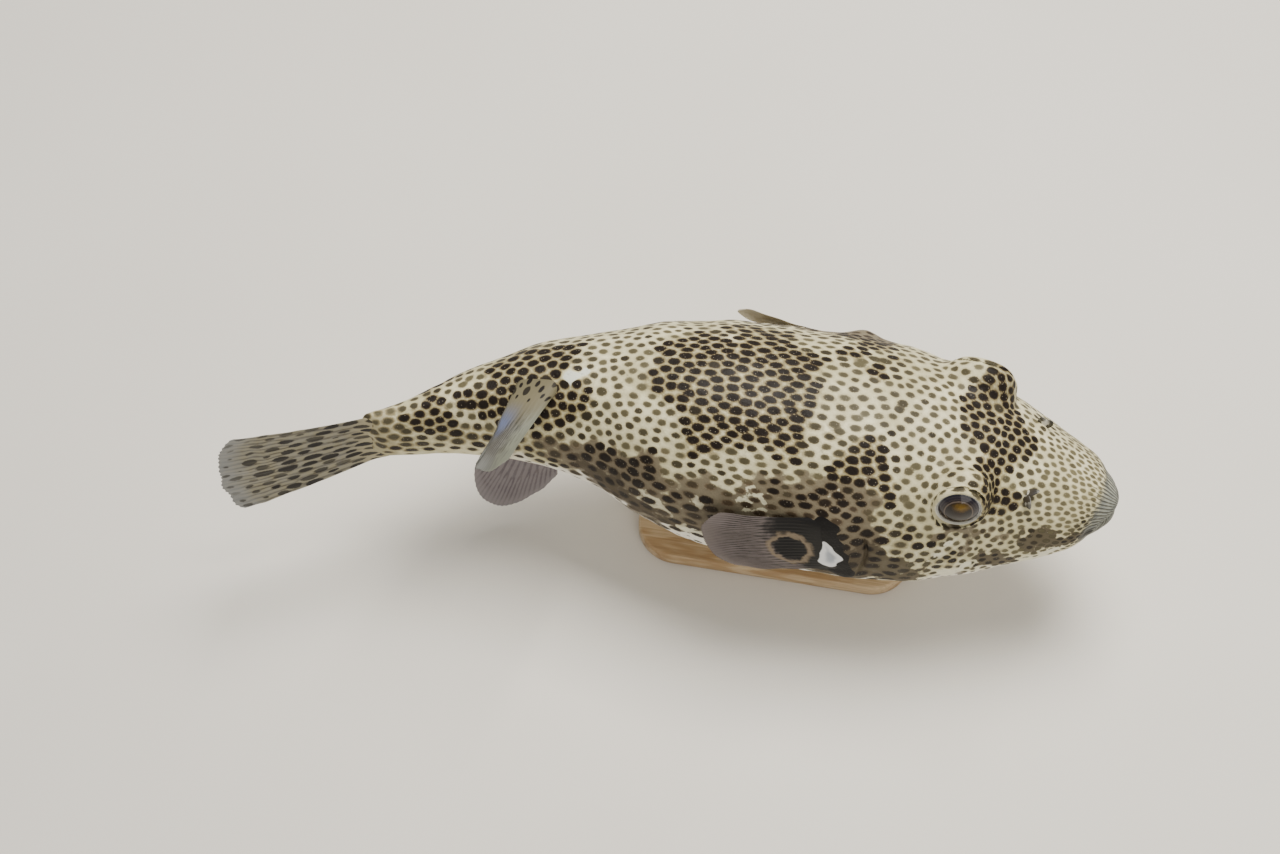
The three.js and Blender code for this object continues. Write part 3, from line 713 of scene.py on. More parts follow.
def spot_field(where, centres, group):
    """Each point's nearest centres, their shares in it, and 1 at a centre down to 0 half-way to the next."""
    tree = tree_of(centres)
    found = [tree.find_n(p, NEAREST_CENTRES) for p in where]
    index = np.array([[f[1] for f in row] for row in found])
    distance = np.array([[f[2] for f in row] for row in found])
    share = np.exp(-ROUNDNESS * (distance - distance[:, :1]) / np.maximum(distance + distance[:, :1], 1e-9))
    total = (share * (group[index] != group[index[:, :1]])).sum(1)
    field = (FIELD_SHIFT - np.log(np.maximum(total, 1e-9)) / ROUNDNESS) / FIELD_RANGE
    share = share**2
    return index, share / share.sum(1, keepdims=True), field


def paired(centres, share, seed, reach):
    """Group numbers, in which a share of the centres are joined to their nearest neighbour."""
    rng = np.random.default_rng(seed)
    tree = tree_of(centres)
    group = np.arange(len(centres))
    for i in rng.permutation(len(centres))[: int(share * len(centres))]:
        _, j, distance = tree.find_n(centres[i], 2)[1]
        if group[i] == i and group[j] == j and distance < reach:
            group[j] = i
    return group


# The spots' centres, chosen among every second point of the grid and the outer rings of the lids.
skin_t = points[:, 0]
skin_angle = np.degrees(phi)
where = pattern_points(points, run)
used = np.zeros(len(points), bool)
used[quads] = True
on_lids = np.flatnonzero((lid_share > 0.02) & (lid_share < 0.3))
sample_of = np.concatenate([index[FIRST_SPOT_ROW:, ::2].reshape(-1), on_lids])
sample_of = sample_of[used[sample_of]]
centre_of = sample_of[scatter(where[sample_of], spacing(skin_t, skin_angle, run)[sample_of], 7)]
centres = where[centre_of]
centre_group = paired(centres, 0.015, 11, 7)
nearest, share, field = spot_field(where, centres, centre_group)

# Each spot's tone, from pale brown at 0 to near-black at 1, and its size as a share of its room.
rng = np.random.default_rng(23)
warped_t = skin_t + 5 * waves(points, 34, 51)
warped_angle = skin_angle + 5 * waves(points, 30, 53)
centre_t, centre_angle = warped_t[centre_of], warped_angle[centre_of]
# A clear pale wedge in front of the dorsal fin, with no spots in it.
frost = 1 - smooth(segment_distance(points, [362, -9, 50], [350, -4, 52]) + 0.7 * waves(points, 12, 55), 0, 5)
dark_at_centre = regions(centre_t, centre_angle, DARK_PATCHES)
chance = rng.uniform(0, 1, len(centres))
snout = 1 - smooth(run[centre_of], 30, 85)
lower = smooth(np.abs(centre_angle), 52, 80) * smooth(centre_t, 100, 160)
belly_centre = smooth(np.abs(centre_angle), 98, 118)
tone = 0.46 + 0.3 * (chance > 0.6) * (chance - 0.3) + 0.62 * smooth(dark_at_centre, 0.25, 0.6) + 0.34 * lower
tone = np.maximum(tone, 0.95 * regions(centre_t, centre_angle, SMUDGES, 0.5))
streak = bell(run[centre_of] - 24, 11) * smooth(np.abs(centre_angle), 15, 60) * (1 - 0.6 * belly_centre)
tone = np.clip(tone + 0.06 - 0.42 * snout + 0.75 * streak + rng.normal(0, 0.1, len(centres)), 0.02, 1)
size = 0.69 + 0.16 * smooth(dark_at_centre, 0.2, 0.7) + 0.05 * lower + 0.09 * snout
size = size + rng.normal(0, 0.035, len(centres))
size = size - belly_centre * rng.uniform(0.1, 0.75, len(centres)) - 1.2 * (frost[centre_of] > 0.35)
size = np.where(run[centre_of] < 14, 0.7, size)
size, tone = size[centre_group], tone[centre_group]

# What the skin's material reads at each point; spot is above 0 inside a spot.
spot = field - 1 + (size[nearest] * share).sum(1)
spot_tone = (tone[nearest] * share).sum(1)
warped_t += 2 * waves(points, 12, 52)
warped_angle += 2.5 * waves(points, 11, 54)
from_back = np.abs(skin_angle)
lower = smooth(from_back, 46, 66) * smooth(skin_t, 110, 170) * (1 - smooth(from_back, 98, 112))
dark = np.maximum(0.5 * lower * (1 + 0.5 * waves(points, 30, 9)), 2 * smooth(skin_t, 466, 486))
skin_marks = {
    "spot": spot, "tone": spot_tone, "straight": points * MM, "frost": frost,
    "dark": np.maximum(regions(warped_t, warped_angle, DARK_PATCHES), dark),
    "smudge": regions(warped_t, warped_angle, SMUDGES, 0.75),
    "pale": regions(warped_t, warped_angle, PALE_PATCHES, 0.75),
    "flank": regions(warped_t, warped_angle, VEILS, 0.5),
    "belly": smooth(np.abs(warped_angle), 92, 108) * smooth(skin_t, 20, 50) * (1 - smooth(skin_t, 380, 430)),
    "fan": lip_folds(points) * bell(run - 16, 16) * (run > -2),
    "lip": 1 - smooth(run, 10, 34),
    "inside": smooth(-run, 5, 9) * (skin_t < 60),
}

# The lids' rims, painted shade in the mouth's corners, and the black and white marks round the pectoral fins'
# roots.
rim, black, shade = np.zeros((3, len(points)))
mark = np.full(len(points), -9.0)
posed = bend(points)
ragged = 0.8 * waves(points, 12, 31)
side_on = np.array([1, 0, 1])
for side in (1, -1):
    across, height, angle = eye_place(points, side)
    here = (height > 0) & (np.abs(points[:, 0] - EYE_CENTRE[0]) < 40)
    upper, edge = lid_edge(angle)
    rim = np.maximum(rim, here * (1 - smooth(across - edge, 0.5, 1.3)) * (1 - 0.5 * upper))
    root = np.array(PECTORAL[side]["root"], float) * side_on + [[7, 0, -6], [6, 0, 2]]
    flank = smooth(side * points[:, 1], 30, 45)
    from_root = segment_distance(points * side_on, *root)
    black = np.maximum(black, flank * (1 - smooth(from_root + ragged, 9.0, 11.5)))
    mark = np.maximum(mark, root_mark(posed, side) - 20 * (1 - flank))
    corner = segment_distance(points, [12, side * 22, -7.5], [21, side * 30, -11.5])
    shade = np.maximum(shade, 1 - smooth(corner + ragged, 0.6, 5.5))


# ---- Making meshes ------------------------------------------------------------------------------------

def add_object(name, data):
    added = bpy.data.objects.new(name, data)
    bpy.context.scene.collection.objects.link(added)
    return added


def make_mesh(name, vertices, polygons, slot, *nodes, uv=None, attributes=None):
    """A smooth-shaded piece of frame coordinates in metres, in place of CAD nodes."""
    mesh = bpy.data.meshes.new(name)
    corners = np.concatenate([np.asarray(p, int) for p in polygons])
    kept, renumbered = np.unique(corners, return_inverse=True)
    polygons = [p.tolist() for p in np.split(renumbered, np.cumsum([len(p) for p in polygons])[:-1])]
    mesh.from_pydata(np.asarray(vertices)[kept].tolist(), [], polygons)
    mesh.validate()
    for key, values in (attributes or {}).items():
        values = np.asarray(values, np.float32)[kept]
        single = values.ndim == 1
        layer = mesh.attributes.new(key, "FLOAT" if single else "FLOAT_VECTOR", "POINT")
        layer.data.foreach_set("value" if single else "vector", values.reshape(-1))
    if uv is not None:
        layer = mesh.uv_layers.new(name="OFBake")
        layer.data.foreach_set("uv", np.asarray(uv, np.float32).reshape(-1))
    mesh.polygons.foreach_set("use_smooth", np.ones(len(mesh.polygons), bool))
    piece = add_object(name, mesh)
    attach(piece, "root")
    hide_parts(*nodes)
    return piece


def tube_faces(index, inwards=False):
    """The faces of a tube of vertex rings, with a flat cap at each end."""
    if inwards:
        return [*ring_quads(index), index[0], index[-1][::-1]]
    return [*ring_quads(index)[:, [0, 3, 2, 1]], index[0][::-1], index[-1]]


def skin_uv(polygons):
    """The skin unrolled: along the body by across it, cut along the belly."""
    corners = np.concatenate(polygons)
    of_polygon = np.repeat(np.arange(len(polygons)), [len(p) for p in polygons])
    around = phi[corners]
    most, least = np.full(len(polygons), -9.0), np.full(len(polygons), 9.0)
    np.maximum.at(most, of_polygon, around)
    np.minimum.at(least, of_polygon, around)
    across_cut = (most - least > math.pi)[of_polygon] & (around < 0)
    around = around + np.where(across_cut, 2 * math.pi, 0)
    share = (run[corners] - run.min()) / (run.max() - run.min())
    return np.stack([share * 0.98 + 0.01, (around + math.pi) / (2 * math.pi) * 0.97 + 0.01], -1)


skin_faces = [*quads, *triangles]
skin_marks.update(rim=rim, black=black, shade=shade, mark=mark)
skin = make_mesh("skin", to_frame(posed), skin_faces, "skin", "head", "trunk", "tail_stem", "lips",
                 uv=skin_uv(skin_faces), attributes=skin_marks)

# ---- Fins ---------------------------------------------------------------------------------------------

FIN_ROWS = 84
RAY_COLUMNS = 14  # columns of the mesh for each ray
WEB_HALF, RAY_HALF = 0.28, 0.42  # half thickness of the web, and what a ray adds to it at its root
SEGMENT = 1.9  # the length of a ray's segments, which show as low rings


def fin_spots(name, along, across, seed):
    """The spot field and tone of a fin, laid out in rows along its rays."""
    if "spots" not in FINS[name]:
        return np.full(along.size, -1.0), np.zeros(along.size)
    stretch, gap = FINS[name]["spots"]
    where = np.stack([along.ravel() / stretch, across.ravel(), 0 * along.ravel()], -1)
    samples = where[::3]
    chosen = scatter(samples, np.full(len(samples), gap), seed)
    near, share, field = spot_field(where, samples[chosen], np.arange(len(chosen)))
    rng = np.random.default_rng(seed + 1)
    size = 0.68 + rng.normal(0, 0.12, len(chosen))
    tone = 0.95 + rng.normal(0, 0.12, len(chosen))
    spot_along, spot_across = samples[chosen][:, 0] * stretch, samples[chosen][:, 1]
    if name == "caudal_fin":
        middle = bell(spot_across - 0.58 * across.max(), 3.5)
        outer = smooth(spot_along, 66, 108)
        size += 0.14 * middle - 0.32 * outer
        tone += 0.2 * middle - 0.3 * outer
    else:
        size -= smooth(spot_along, 20, 34)
    return field - 1 + (size[near] * share).sum(1), (np.clip(tone, 0.1, 1)[near] * share).sum(1)


def build_fin(name, seed):
    fin = FINS[name]
    flesh_half, flesh_reach, colour_reach = fin["flesh"]
    columns = fin["count"] * RAY_COLUMNS + 1
    u, v = np.meshgrid(np.linspace(0, 1, FIN_ROWS) ** 0.9, np.linspace(0, 1, columns), indexing="ij")
    along, across = u * norm(fin["rays"][1]), v * norm(np.subtract(*fin["root"]))
    # Each ray stands up from the web as a ridge, and forks once on its way out.
    ray_place = v * fin["count"]
    single, forked = ((0.5 - 0.5 * np.cos(turns * math.pi * ray_place)) ** 1.6 for turns in (2, 4))
    ray = single + (forked - single) * smooth(u, 0.5, 0.68)
    ray = ray * smooth(along, 0.4 * flesh_reach, 1.2 * flesh_reach)
    segments = 0.5 + 0.5 * np.cos(along * 2 * math.pi / SEGMENT)
    uneven = waves(np.stack([v * 40, 0 * v, 0 * v], -1), 9, seed)
    edge = 1 - 0.007 * smooth(u, 0.8, 1) * (1 - ray) - 0.006 * smooth(u, 0.7, 1) * uneven
    middle = fin_point(fin, u * edge, v)
    e = 1e-3
    du = fin_point(fin, u + e, v) - fin_point(fin, u - e, v)
    dv = fin_point(fin, u, v + e) - fin_point(fin, u, v - e)
    normal = unit(np.cross(du, dv))
    ripple = 0.9 * np.sin(v * 9 + seed) * smooth(u, 0.25, 1)
    ripple += 0.35 * waves(middle, 16, seed + 5) * smooth(u, 0.3, 1)
    middle = middle + normal * ripple[..., None]
    flesh = bell(along, flesh_reach * 0.62)
    side_taper = np.sqrt(np.clip(1 - (2 * v - 1) ** 8, 0.02, 1))
    half = (WEB_HALF + RAY_HALF * ray * (1 - 0.6 * u) * (1 + 0.18 * segments * smooth(u, 0.25, 0.5)))
    half = (half * (1 - 0.45 * smooth(u, 0.9, 1)) + flesh_half * flesh) * side_taper
    faces = np.stack([middle + normal * half[..., None], middle - normal * half[..., None]])
    grid = np.arange(FIN_ROWS * columns).reshape(FIN_ROWS, columns)
    shift = grid.size

    def quads(a, b, c, d):
        return list(np.stack([a, b, c, d], -1).reshape(-1, 4))

    low, next_low, next_high, high = grid[:-1, :-1], grid[:-1, 1:], grid[1:, 1:], grid[1:, :-1]
    polygons = quads(low, next_low, next_high, high)
    polygons += quads(low + shift, high + shift, next_high + shift, next_low + shift)
    for line, flip in ((grid[0], True), (grid[-1], False), (grid[:, 0], False), (grid[:, -1], True)):
        a, b = line[:-1], line[1:]
        polygons += quads(a, b, b + shift, a + shift) if flip else quads(b, a, a + shift, b + shift)
    spot, tone = fin_spots(name, along, across, seed)
    marks = {
        "ray": ray, "share": u, "across": v, "reach": along * MM, "width": across * MM,
        "spot": spot, "tone": tone, "flesh": 1 - smooth(along, 0.5 * colour_reach, 1.2 * colour_reach),
    }
    if name.startswith("pectoral"):
        marks["mark"] = root_mark(middle, 1 if name.endswith("left") else -1)
    return make_mesh(name + "_web", to_frame(faces.reshape(-1, 3)), polygons, "fin", name,
                     attributes={key: np.tile(values.ravel(), 2) for key, values in marks.items()})


fins = {name: build_fin(name, 40 + 10 * i) for i, name in enumerate(FINS)}

# ---- Eyes ---------------------------------------------------------------------------------------------

EYE_RINGS, EYE_SPOKES = 64, 96
CORNEA = 0.8  # how far the clear front stands out from the ball


def build_eye(word, side):
    ball, outward, upward, forward = eye_frame(side)
    polar = np.linspace(0, math.pi, EYE_RINGS)[1:-1, None]
    spoke = np.linspace(0, 2 * math.pi, EYE_SPOKES, endpoint=False)[None]
    across = EYE_RADIUS * np.sin(polar) + 0 * spoke
    height = EYE_HALF_DEPTH * np.cos(polar) + CORNEA * bell(across, 8) * (polar < 1.5)
    place = (ball + outward * height[..., None] + upward * (across * np.cos(spoke))[..., None]
             + forward * (across * np.sin(spoke))[..., None])
    poles = [ball + outward * (EYE_HALF_DEPTH + CORNEA), ball - outward * EYE_HALF_DEPTH]
    vertices = np.concatenate([place.reshape(-1, 3), poles])
    grid = np.arange(len(vertices) - 2).reshape(-1, EYE_SPOKES)
    polygons = [*ring_quads(grid)]
    polygons += [(a, b, grid.size) for a, b in zip(grid[0], np.roll(grid[0], -1))]
    polygons += [(b, a, grid.size + 1) for a, b in zip(grid[-1], np.roll(grid[-1], -1))]
    away = (vertices - ball) / EYE_OPENING
    return make_mesh("eyeball_" + word, to_frame(bend(vertices)), [p[::side] for p in polygons],
                     "eye", "eye_" + word, attributes={"up": away @ upward, "fore": away @ forward})


eyes = [build_eye("left", 1), build_eye("right", -1)]

# ---- Beak ---------------------------------------------------------------------------------------------

def build_beak(word, side):
    """One biting plate, a curved blade with a seam down its middle where its two teeth meet."""
    across = np.linspace(-1, 1, 61) * BEAK["half_width"]
    front = BEAK["front"] + BEAK["curve"] * (across / BEAK["half_width"]) ** 2
    rings = []
    for corner_t, corner_z in BEAK["outline"]:
        seam = 0.45 * bell(across, 0.45) * (corner_t < 1)
        worn = 0.25 * np.abs(np.sin(across * 0.9 + side)) * (corner_z < 1)
        z = MOUTH["z"] + side * (BEAK["bite"] + worn + corner_z * (BEAK["height"] - BEAK["bite"]) / 7)
        rings.append(np.stack([front + corner_t + seam, across, z], -1))
    points = np.stack(rings, 1)
    polygons = tube_faces(np.arange(points[..., 0].size).reshape(points.shape[:2]), inwards=True)
    points = points.reshape(-1, 3)
    marks = {"gum": np.abs(points[:, 2] - MOUTH["z"]) / BEAK["height"], "across": points[:, 1] * MM}
    return make_mesh("beak_plate_" + word, to_frame(bend(points)), [p[::side] for p in polygons],
                     "beak", "beak_" + word, attributes=marks)


beaks = [build_beak("upper", 1), build_beak("lower", -1)]

# ---- Nasal flaps --------------------------------------------------------------------------------------

LOBE_STEPS, LOBE_SIDES = 18, 16


def lobe(start, direction, bent, flat, reach, width, thickness):
    """A flat tongue of skin from start, bending sideways on its way, as rings of points."""
    rings = []
    for s in np.linspace(0, 1, LOBE_STEPS):
        centre = start + direction * (reach * s) + bent * (reach * s * s)
        half_width = width * (0.75 + 0.5 * math.sin(math.pi * s)) * math.sqrt(max(1 - s**5, 0.0)) + 0.05
        half_thick = thickness * (1 - 0.4 * s) * math.sqrt(max(1 - s**6, 0.0)) + 0.04
        side = unit(np.cross(direction + 2 * s * bent, flat))
        rings += [centre + side * half_width * math.cos(a) + flat * half_thick * math.sin(a)
                  for a in np.linspace(0, 2 * math.pi, LOBE_SIDES, endpoint=False)]
    return rings


def build_nasal_flap(word, side):
    up = unit(np.array([-0.25, 0.5 * side, 0.83]))
    flat = np.array([-0.05, 0.72, -0.45] if side > 0 else [-0.75, -0.1, -0.3])
    flat = unit(flat - up * (flat @ up))
    across = np.cross(up, flat)
    # The left flap stands up with its lobes fore and aft, and the right one leans forwards and curls.
    lean, curl, spread, bow = (0.1, 0.3, 0.42, 0.1) if side > 0 else (-0.35, -0.9, 0.62, 0.35)
    vertices, polygons = [], []
    for way, reach in ((1, 8.4), (-1, 7.4)):
        direction = unit(up + across * spread * way - flat * lean)
        turned_flat = unit(flat + up * (flat @ -direction) / max(direction @ up, 0.3))
        bent = across * bow * way - flat * curl * 0.5
        index = len(vertices) + np.arange(LOBE_STEPS * LOBE_SIDES).reshape(LOBE_STEPS, LOBE_SIDES)
        vertices += lobe(nostril_foot(side) - up * 0.4, direction, bent, turned_flat, reach, 2.5, 1.15)
        polygons += tube_faces(index)
    share = np.tile(np.repeat(np.linspace(0, 1, LOBE_STEPS), LOBE_SIDES), 2)
    return make_mesh("nostril_" + word, to_frame(bend(np.array(vertices))), polygons,
                     "skin", "nasal_flap_" + word, attributes={"share": share})


nasal_flaps = [build_nasal_flap("left", 1), build_nasal_flap("right", -1)]

# ---- Stand --------------------------------------------------------------------------------------------

ROD_SIDES = 56


def build_base():
    """A rounded board with softened edges, in the room of the frame's base."""
    low, high = (np.array(c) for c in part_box("stand_base"))
    middle, half = (low + high) / 2, (high - low) / 2
    corner, bevel, corner_steps = 0.028, 0.0015, 24
    top = high[2] - low[2]
    edge = [(bevel, 0), (0.0005, 0.0005), (0, bevel), (0, top - bevel), (0.0002, top - 0.7 * bevel),
            (0.0007, top - 0.25 * bevel), (bevel, top)]
    vertices = np.array([(
        middle[0] + sign_x * (half[0] - corner) + (corner - inset) * math.cos(a),
        middle[1] + sign_y * (half[1] - corner) + (corner - inset) * math.sin(a),
        low[2] + z,
    ) for inset, z in edge for quarter, (sign_x, sign_y) in enumerate(((1, 1), (-1, 1), (-1, -1), (1, -1)))
        for a in np.linspace(0, math.pi / 2, corner_steps) + quarter * math.pi / 2])
    polygons = tube_faces(np.arange(len(vertices)).reshape(len(edge), -1))
    piece = make_mesh("stand_board", vertices, polygons, "stand_wood", "stand_base")
    for face in piece.data.polygons[-2:]:
        face.use_smooth = False
    return piece


def build_rod(word):
    """A turned steel rod with a collar where it stands on the board."""
    low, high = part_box("stand_rod_" + word)
    x, y = (low[0] + high[0]) / 2, (low[1] + high[1]) / 2
    radius = (high[0] - low[0]) / 2
    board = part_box("stand_base")[1][2]
    outline = [  # radius in rods' radii, height
        (2.1, board), (2.15, board + 0.0006), (2.15, board + 0.0022), (2.05, board + 0.0028),
        (1.3, board + 0.0036), (1.12, board + 0.0046), (1.0, board + 0.0062), (1.0, high[2] + 0.002),
    ]
    vertices = np.array([(x + radius * r * math.cos(a), y + radius * r * math.sin(a), z) for r, z in outline
                         for a in np.linspace(0, 2 * math.pi, ROD_SIDES, endpoint=False)])
    polygons = tube_faces(np.arange(len(vertices)).reshape(-1, ROD_SIDES))
    return make_mesh("stand_pin_" + word, vertices, polygons, "stand_steel", "stand_rod_" + word)


board = build_base()
rods = [build_rod("front"), build_rod("rear")]


# ---- Materials ----------------------------------------------------------------------------------------

def colour(*screen):
    """A linear colour from its screen values, 0 to 255."""
    shares = [value / 255 for value in screen]
    return (*(s / 12.92 if s <= 0.04045 else ((s + 0.055) / 1.055) ** 2.4 for s in shares), 1)


class Value:
    """What a node puts out. Sums, products and steps of it are further nodes."""

    def __init__(self, look, socket):
        self.look, self.socket = look, socket

    def math(self, operation, *others):
        inputs = dict(enumerate((self, *others)))
        return self.look.node("ShaderNodeMath", inputs, operation=operation)

    def __add__(self, other):
        return self.math("ADD", other)

    def __sub__(self, other):
        return self.math("SUBTRACT", other)

    def __mul__(self, other):
        return self.math("MULTIPLY", other)

    def __truediv__(self, other):
        return self.math("DIVIDE", other)

    def step(self, low, high, at_low=0.0, at_high=1.0):
        """A smooth step from at_low to at_high."""
        inputs = {"Value": self, "From Min": low, "From Max": high, "To Min": at_low, "To Max": at_high}
        return self.look.node("ShaderNodeMapRange", inputs, "Result", interpolation_type="SMOOTHSTEP")


def oval(x, y, middle=(0, 0), half=(1, 1)):
    """Distance from the middle of an oval, 1 at its edge."""
    along, over = (x - middle[0]) / half[0], (y - middle[1]) / half[1]
    return (along * along + over * over).math("SQRT")


class Look:
    """A material: a ground colour and the colours laid over it in turn, on one Principled shader."""

    def __init__(self, name, ground, **constants):
        self.material = bpy.data.materials.new(name)
        self.material.use_nodes = True
        self.tree = self.material.node_tree
        self.shader = self.tree.nodes["Principled BSDF"]
        self.top = ground
        for socket, value in constants.items():
            self.shader.inputs[socket.replace("_", " ")].default_value = value

    def node(self, kind, inputs, output=0, **settings):
        node = self.tree.nodes.new(kind)
        for key, value in settings.items():
            setattr(node, key, value)
        for socket, value in inputs.items():
            if isinstance(value, Value):
                self.tree.links.new(value.socket, node.inputs[socket])
            else:
                node.inputs[socket].default_value = value
        return Value(self, node.outputs[output])

    def attribute(self, name, output="Fac"):
        return self.node("ShaderNodeAttribute", {}, output, attribute_name=name)

    def attributes(self, names):
        return [self.attribute(name) for name in names.split()]

    def object_place(self):
        return self.node("ShaderNodeTexCoord", {}, "Object")

    def plane(self, x, y):
        return self.node("ShaderNodeCombineXYZ", {0: x, 1: y})

    def stretch(self, place, *factors):
        return self.node("ShaderNodeVectorMath", {0: place, 1: factors}, operation="MULTIPLY")

    def noise(self, place, scale, detail=3):
        """Noise about zero, from roughly -0.5 to 0.5."""
        inputs = {"Vector": place, "Scale": scale, "Detail": detail, "Roughness": 0.55}
        return self.node("ShaderNodeTexNoise", inputs, "Fac") - 0.5

    def cells(self, place, scale):
        return self.node("ShaderNodeTexVoronoi", {"Vector": place, "Scale": scale}, "Distance")

    def mix(self, share, a, b):
        """From a to b, which are colours or values."""
        a, b = (c if isinstance(c, Value) else colour(*c) for c in (a, b))
        return self.node("ShaderNodeMix", {0: share, 6: a, 7: b}, 2, data_type="RGBA")

    def cover(self, share, tint):
        self.top = self.mix(share, self.top, tint)

    def link(self, value, socket):
        self.tree.links.new(value.socket, self.shader.inputs[socket])

    def bump(self, height, depth):
        inputs = {"Height": height, "Distance": depth, "Strength": 1.0}
        self.link(self.node("ShaderNodeBump", inputs), "Normal")

    def on(self, *pieces):
        self.link(self.top, "Base Color")
        for piece in pieces:
            piece.data.materials.clear()
            piece.data.materials.append(self.material)


JET = (17, 15, 14)


def mark_colour(look, mark):
    """White with a grey-blue core of painted shade, for the marks at the pectoral fins' feet."""
    return look.mix(mark.step(2.0, 5.5, 0.0, 0.8), (228, 228, 226), (146, 152, 160))


def skin_look():
    look = Look("spotted_skin", (234, 226, 188),
                Specular_IOR_Level=0.16, Coat_Weight=0.03, Coat_Roughness=0.3)
    spot, tone, dark, belly, flank, pale, smudge, frost = look.attributes(
        "spot tone dark belly flank pale smudge frost")
    fan, lip, shade, black, mark, rim, inside = look.attributes("fan lip shade black mark rim inside")
    place = look.attribute("straight", "Vector")
    fine, medium, broad, large = (look.noise(place, *scale) for scale in ((900,), (330,), (90, 5), (22,)))
    edged = spot + fine * 0.26 + medium * 0.16

    look.cover(large.step(-0.2, 0.2), (204, 196, 154))
    look.cover(broad.step(-0.25, 0.25, 0.0, 0.55), (172, 163, 123))
    olive = edged.step(-0.42, -0.02) * dark.step(0.15, 0.7, 0.3, 0.95)
    look.cover(olive.math("MAXIMUM", dark.step(1.1, 1.8, 0.0, 0.55)), (128, 115, 80))

    # Belly: white, with a few grey-brown blotches of uneven outline.
    blotch = (large + broad * 0.35).step(0.1, 0.17)
    look.cover(belly, look.mix(blotch * 0.8, (238, 233, 219), (96, 84, 68)))

    # A brown-grey veil over the flanks, broken up between the spots, darker smudges, and white gaps in both.
    patch = pale + broad * 1.3 + medium * 0.8
    clear = (patch - edged * 0.7).step(0.85, 1.0)
    bare = patch.step(1.2, 1.4)
    closed = clear * -1 + 1
    grey = flank + large * 0.8 + broad * 0.8 + edged * 0.5
    look.cover(grey.step(0.15, 0.4, 0.0, 0.88) * closed, (102, 91, 74))
    veil = (smudge + broad * 1.5 + medium * 0.7 + edged * 0.3).step(0.36, 0.6) * closed
    look.cover(veil * 0.92, (74, 64, 48))
    look.cover(clear * 0.3 + bare * 0.4, (234, 230, 208))
    look.cover((frost + broad * 0.8 - edged * 0.8).step(0.45, 0.95, 0.0, 0.85), (220, 223, 208))

    # Spots: soft brown ones where the skin is pale, near-black ones in the dark patches.
    spot_edge = look.mix(tone, look.mix(flank, (150, 142, 110), (150, 132, 106)), (60, 49, 33))
    spot_edge = look.mix(veil * 0.8, spot_edge, (58, 49, 36))
    spot_core = look.mix(tone, look.mix(flank, (114, 106, 77), (110, 92, 68)), (24, 17, 10))
    spotted = edged.step(-0.05, 0.07) * bare.step(0.0, 1.0, 1.0, 0.0)
    look.cover(spotted, look.mix(edged.step(0.02, 0.26), spot_edge, spot_core))
    # Pale specks on the spots: painted glints of light on the skin's prickles.
    look.cover(look.cells(place, 420).step(0.1, 0.2, 0.45, 0.0) * spotted, (150, 140, 120))

    # Lines that fan out from the lips, the grey lips, black skin round the fins' roots and the lids' rims.
    streaky = fan + medium * 1.6
    look.cover(streaky.step(0.15, 0.7) * 0.7, (66, 61, 47))
    slate = look.mix(streaky.step(-0.5, 0.7), (130, 134, 128), (72, 72, 68))
    look.cover((lip + medium * 0.7 + fan * 0.15).step(0.2, 0.8, 0.0, 0.85), slate)
    # Painted shade in the mouth's corners, where the slit runs in.
    look.cover((shade + medium * 0.6).step(0.2, 0.9, 0.0, 0.9), (30, 27, 25))
    look.cover((black + medium * 0.3).step(0.4, 0.6), JET)
    look.cover((mark + medium * 0.9).step(-0.3, 0.3), mark_colour(look, mark))
    look.cover(rim.step(0.3, 0.7, 0.0, 0.9), (208, 205, 192))
    look.cover(inside, (92, 58, 50))
    look.link(broad.step(-0.3, 0.3, 0.5, 0.65), "Roughness")
    look.bump(look.cells(place, 620) * 0.6 + fine * 0.6 + edged.step(-0.1, 0.2) * 0.1, 0.00022)
    return look


def fin_look(name, web, ray, edge, flesh, spots=None, front=None, marked=False):
    look = Look(name, web, Roughness=0.5, Specular_IOR_Level=0.18, Coat_Weight=0.04, Coat_Roughness=0.3)
    share, rays, reach, width, across = look.attributes("share ray reach width across")
    place = look.plane(reach, width)
    streaks = look.noise(look.stretch(place, 0.12, 1, 1), 900)
    mottle = look.noise(place, 160)
    look.cover((rays + streaks * 1.4).step(0.25, 0.75), ray)
    look.cover(mottle.step(-0.25, 0.25, 0.0, 0.35), edge)
    look.cover((share + streaks * 0.15).step(0.78, 1.0, 0.0, 0.8), edge)
    if front:
        # A blue sheen on the web behind pale front rays.
        sheen = oval(share, across, (0.45, 0.68), (0.28, 0.3)) + streaks * 0.9
        look.cover(sheen.step(0.3, 1.1, 0.75, 0.0), (84, 94, 126))
        look.cover((across + streaks * 0.5).step(0.05, 0.35, 0.8, 0.0), front)
    look.cover(look.attribute("flesh"), flesh)
    if spots:
        edged = look.attribute("spot") + look.noise(place, 700) * 0.3
        look.cover(edged.step(-0.08, 0.12) * look.attribute("tone"), spots)
    if marked:
        # Black flesh with a tan ring round a black oval, and a white corner at the lower front.
        ring = oval(reach, width, (0.034, 0.027), (0.0115, 0.0125))
        ring = ring + mottle * 0.6 + look.noise(place, 60) * 0.8
        look.cover((reach + width * 0.3 + mottle * 0.014).step(0.042, 0.056, 1.0, 0.0), JET)
        look.cover(ring.step(0.8, 1.0) * ring.step(1.0, 1.3, 1.0, 0.0) * 0.9, (132, 116, 94))
        look.cover(ring.step(0.72, 0.95, 1.0, 0.0), (14, 12, 12))
        mark = look.attribute("mark")
        look.cover((mark + mottle * 1.6).step(-0.3, 0.3), mark_colour(look, mark))
    look.bump(rays * 0.6 + streaks * 0.8, 0.00025)
    return look


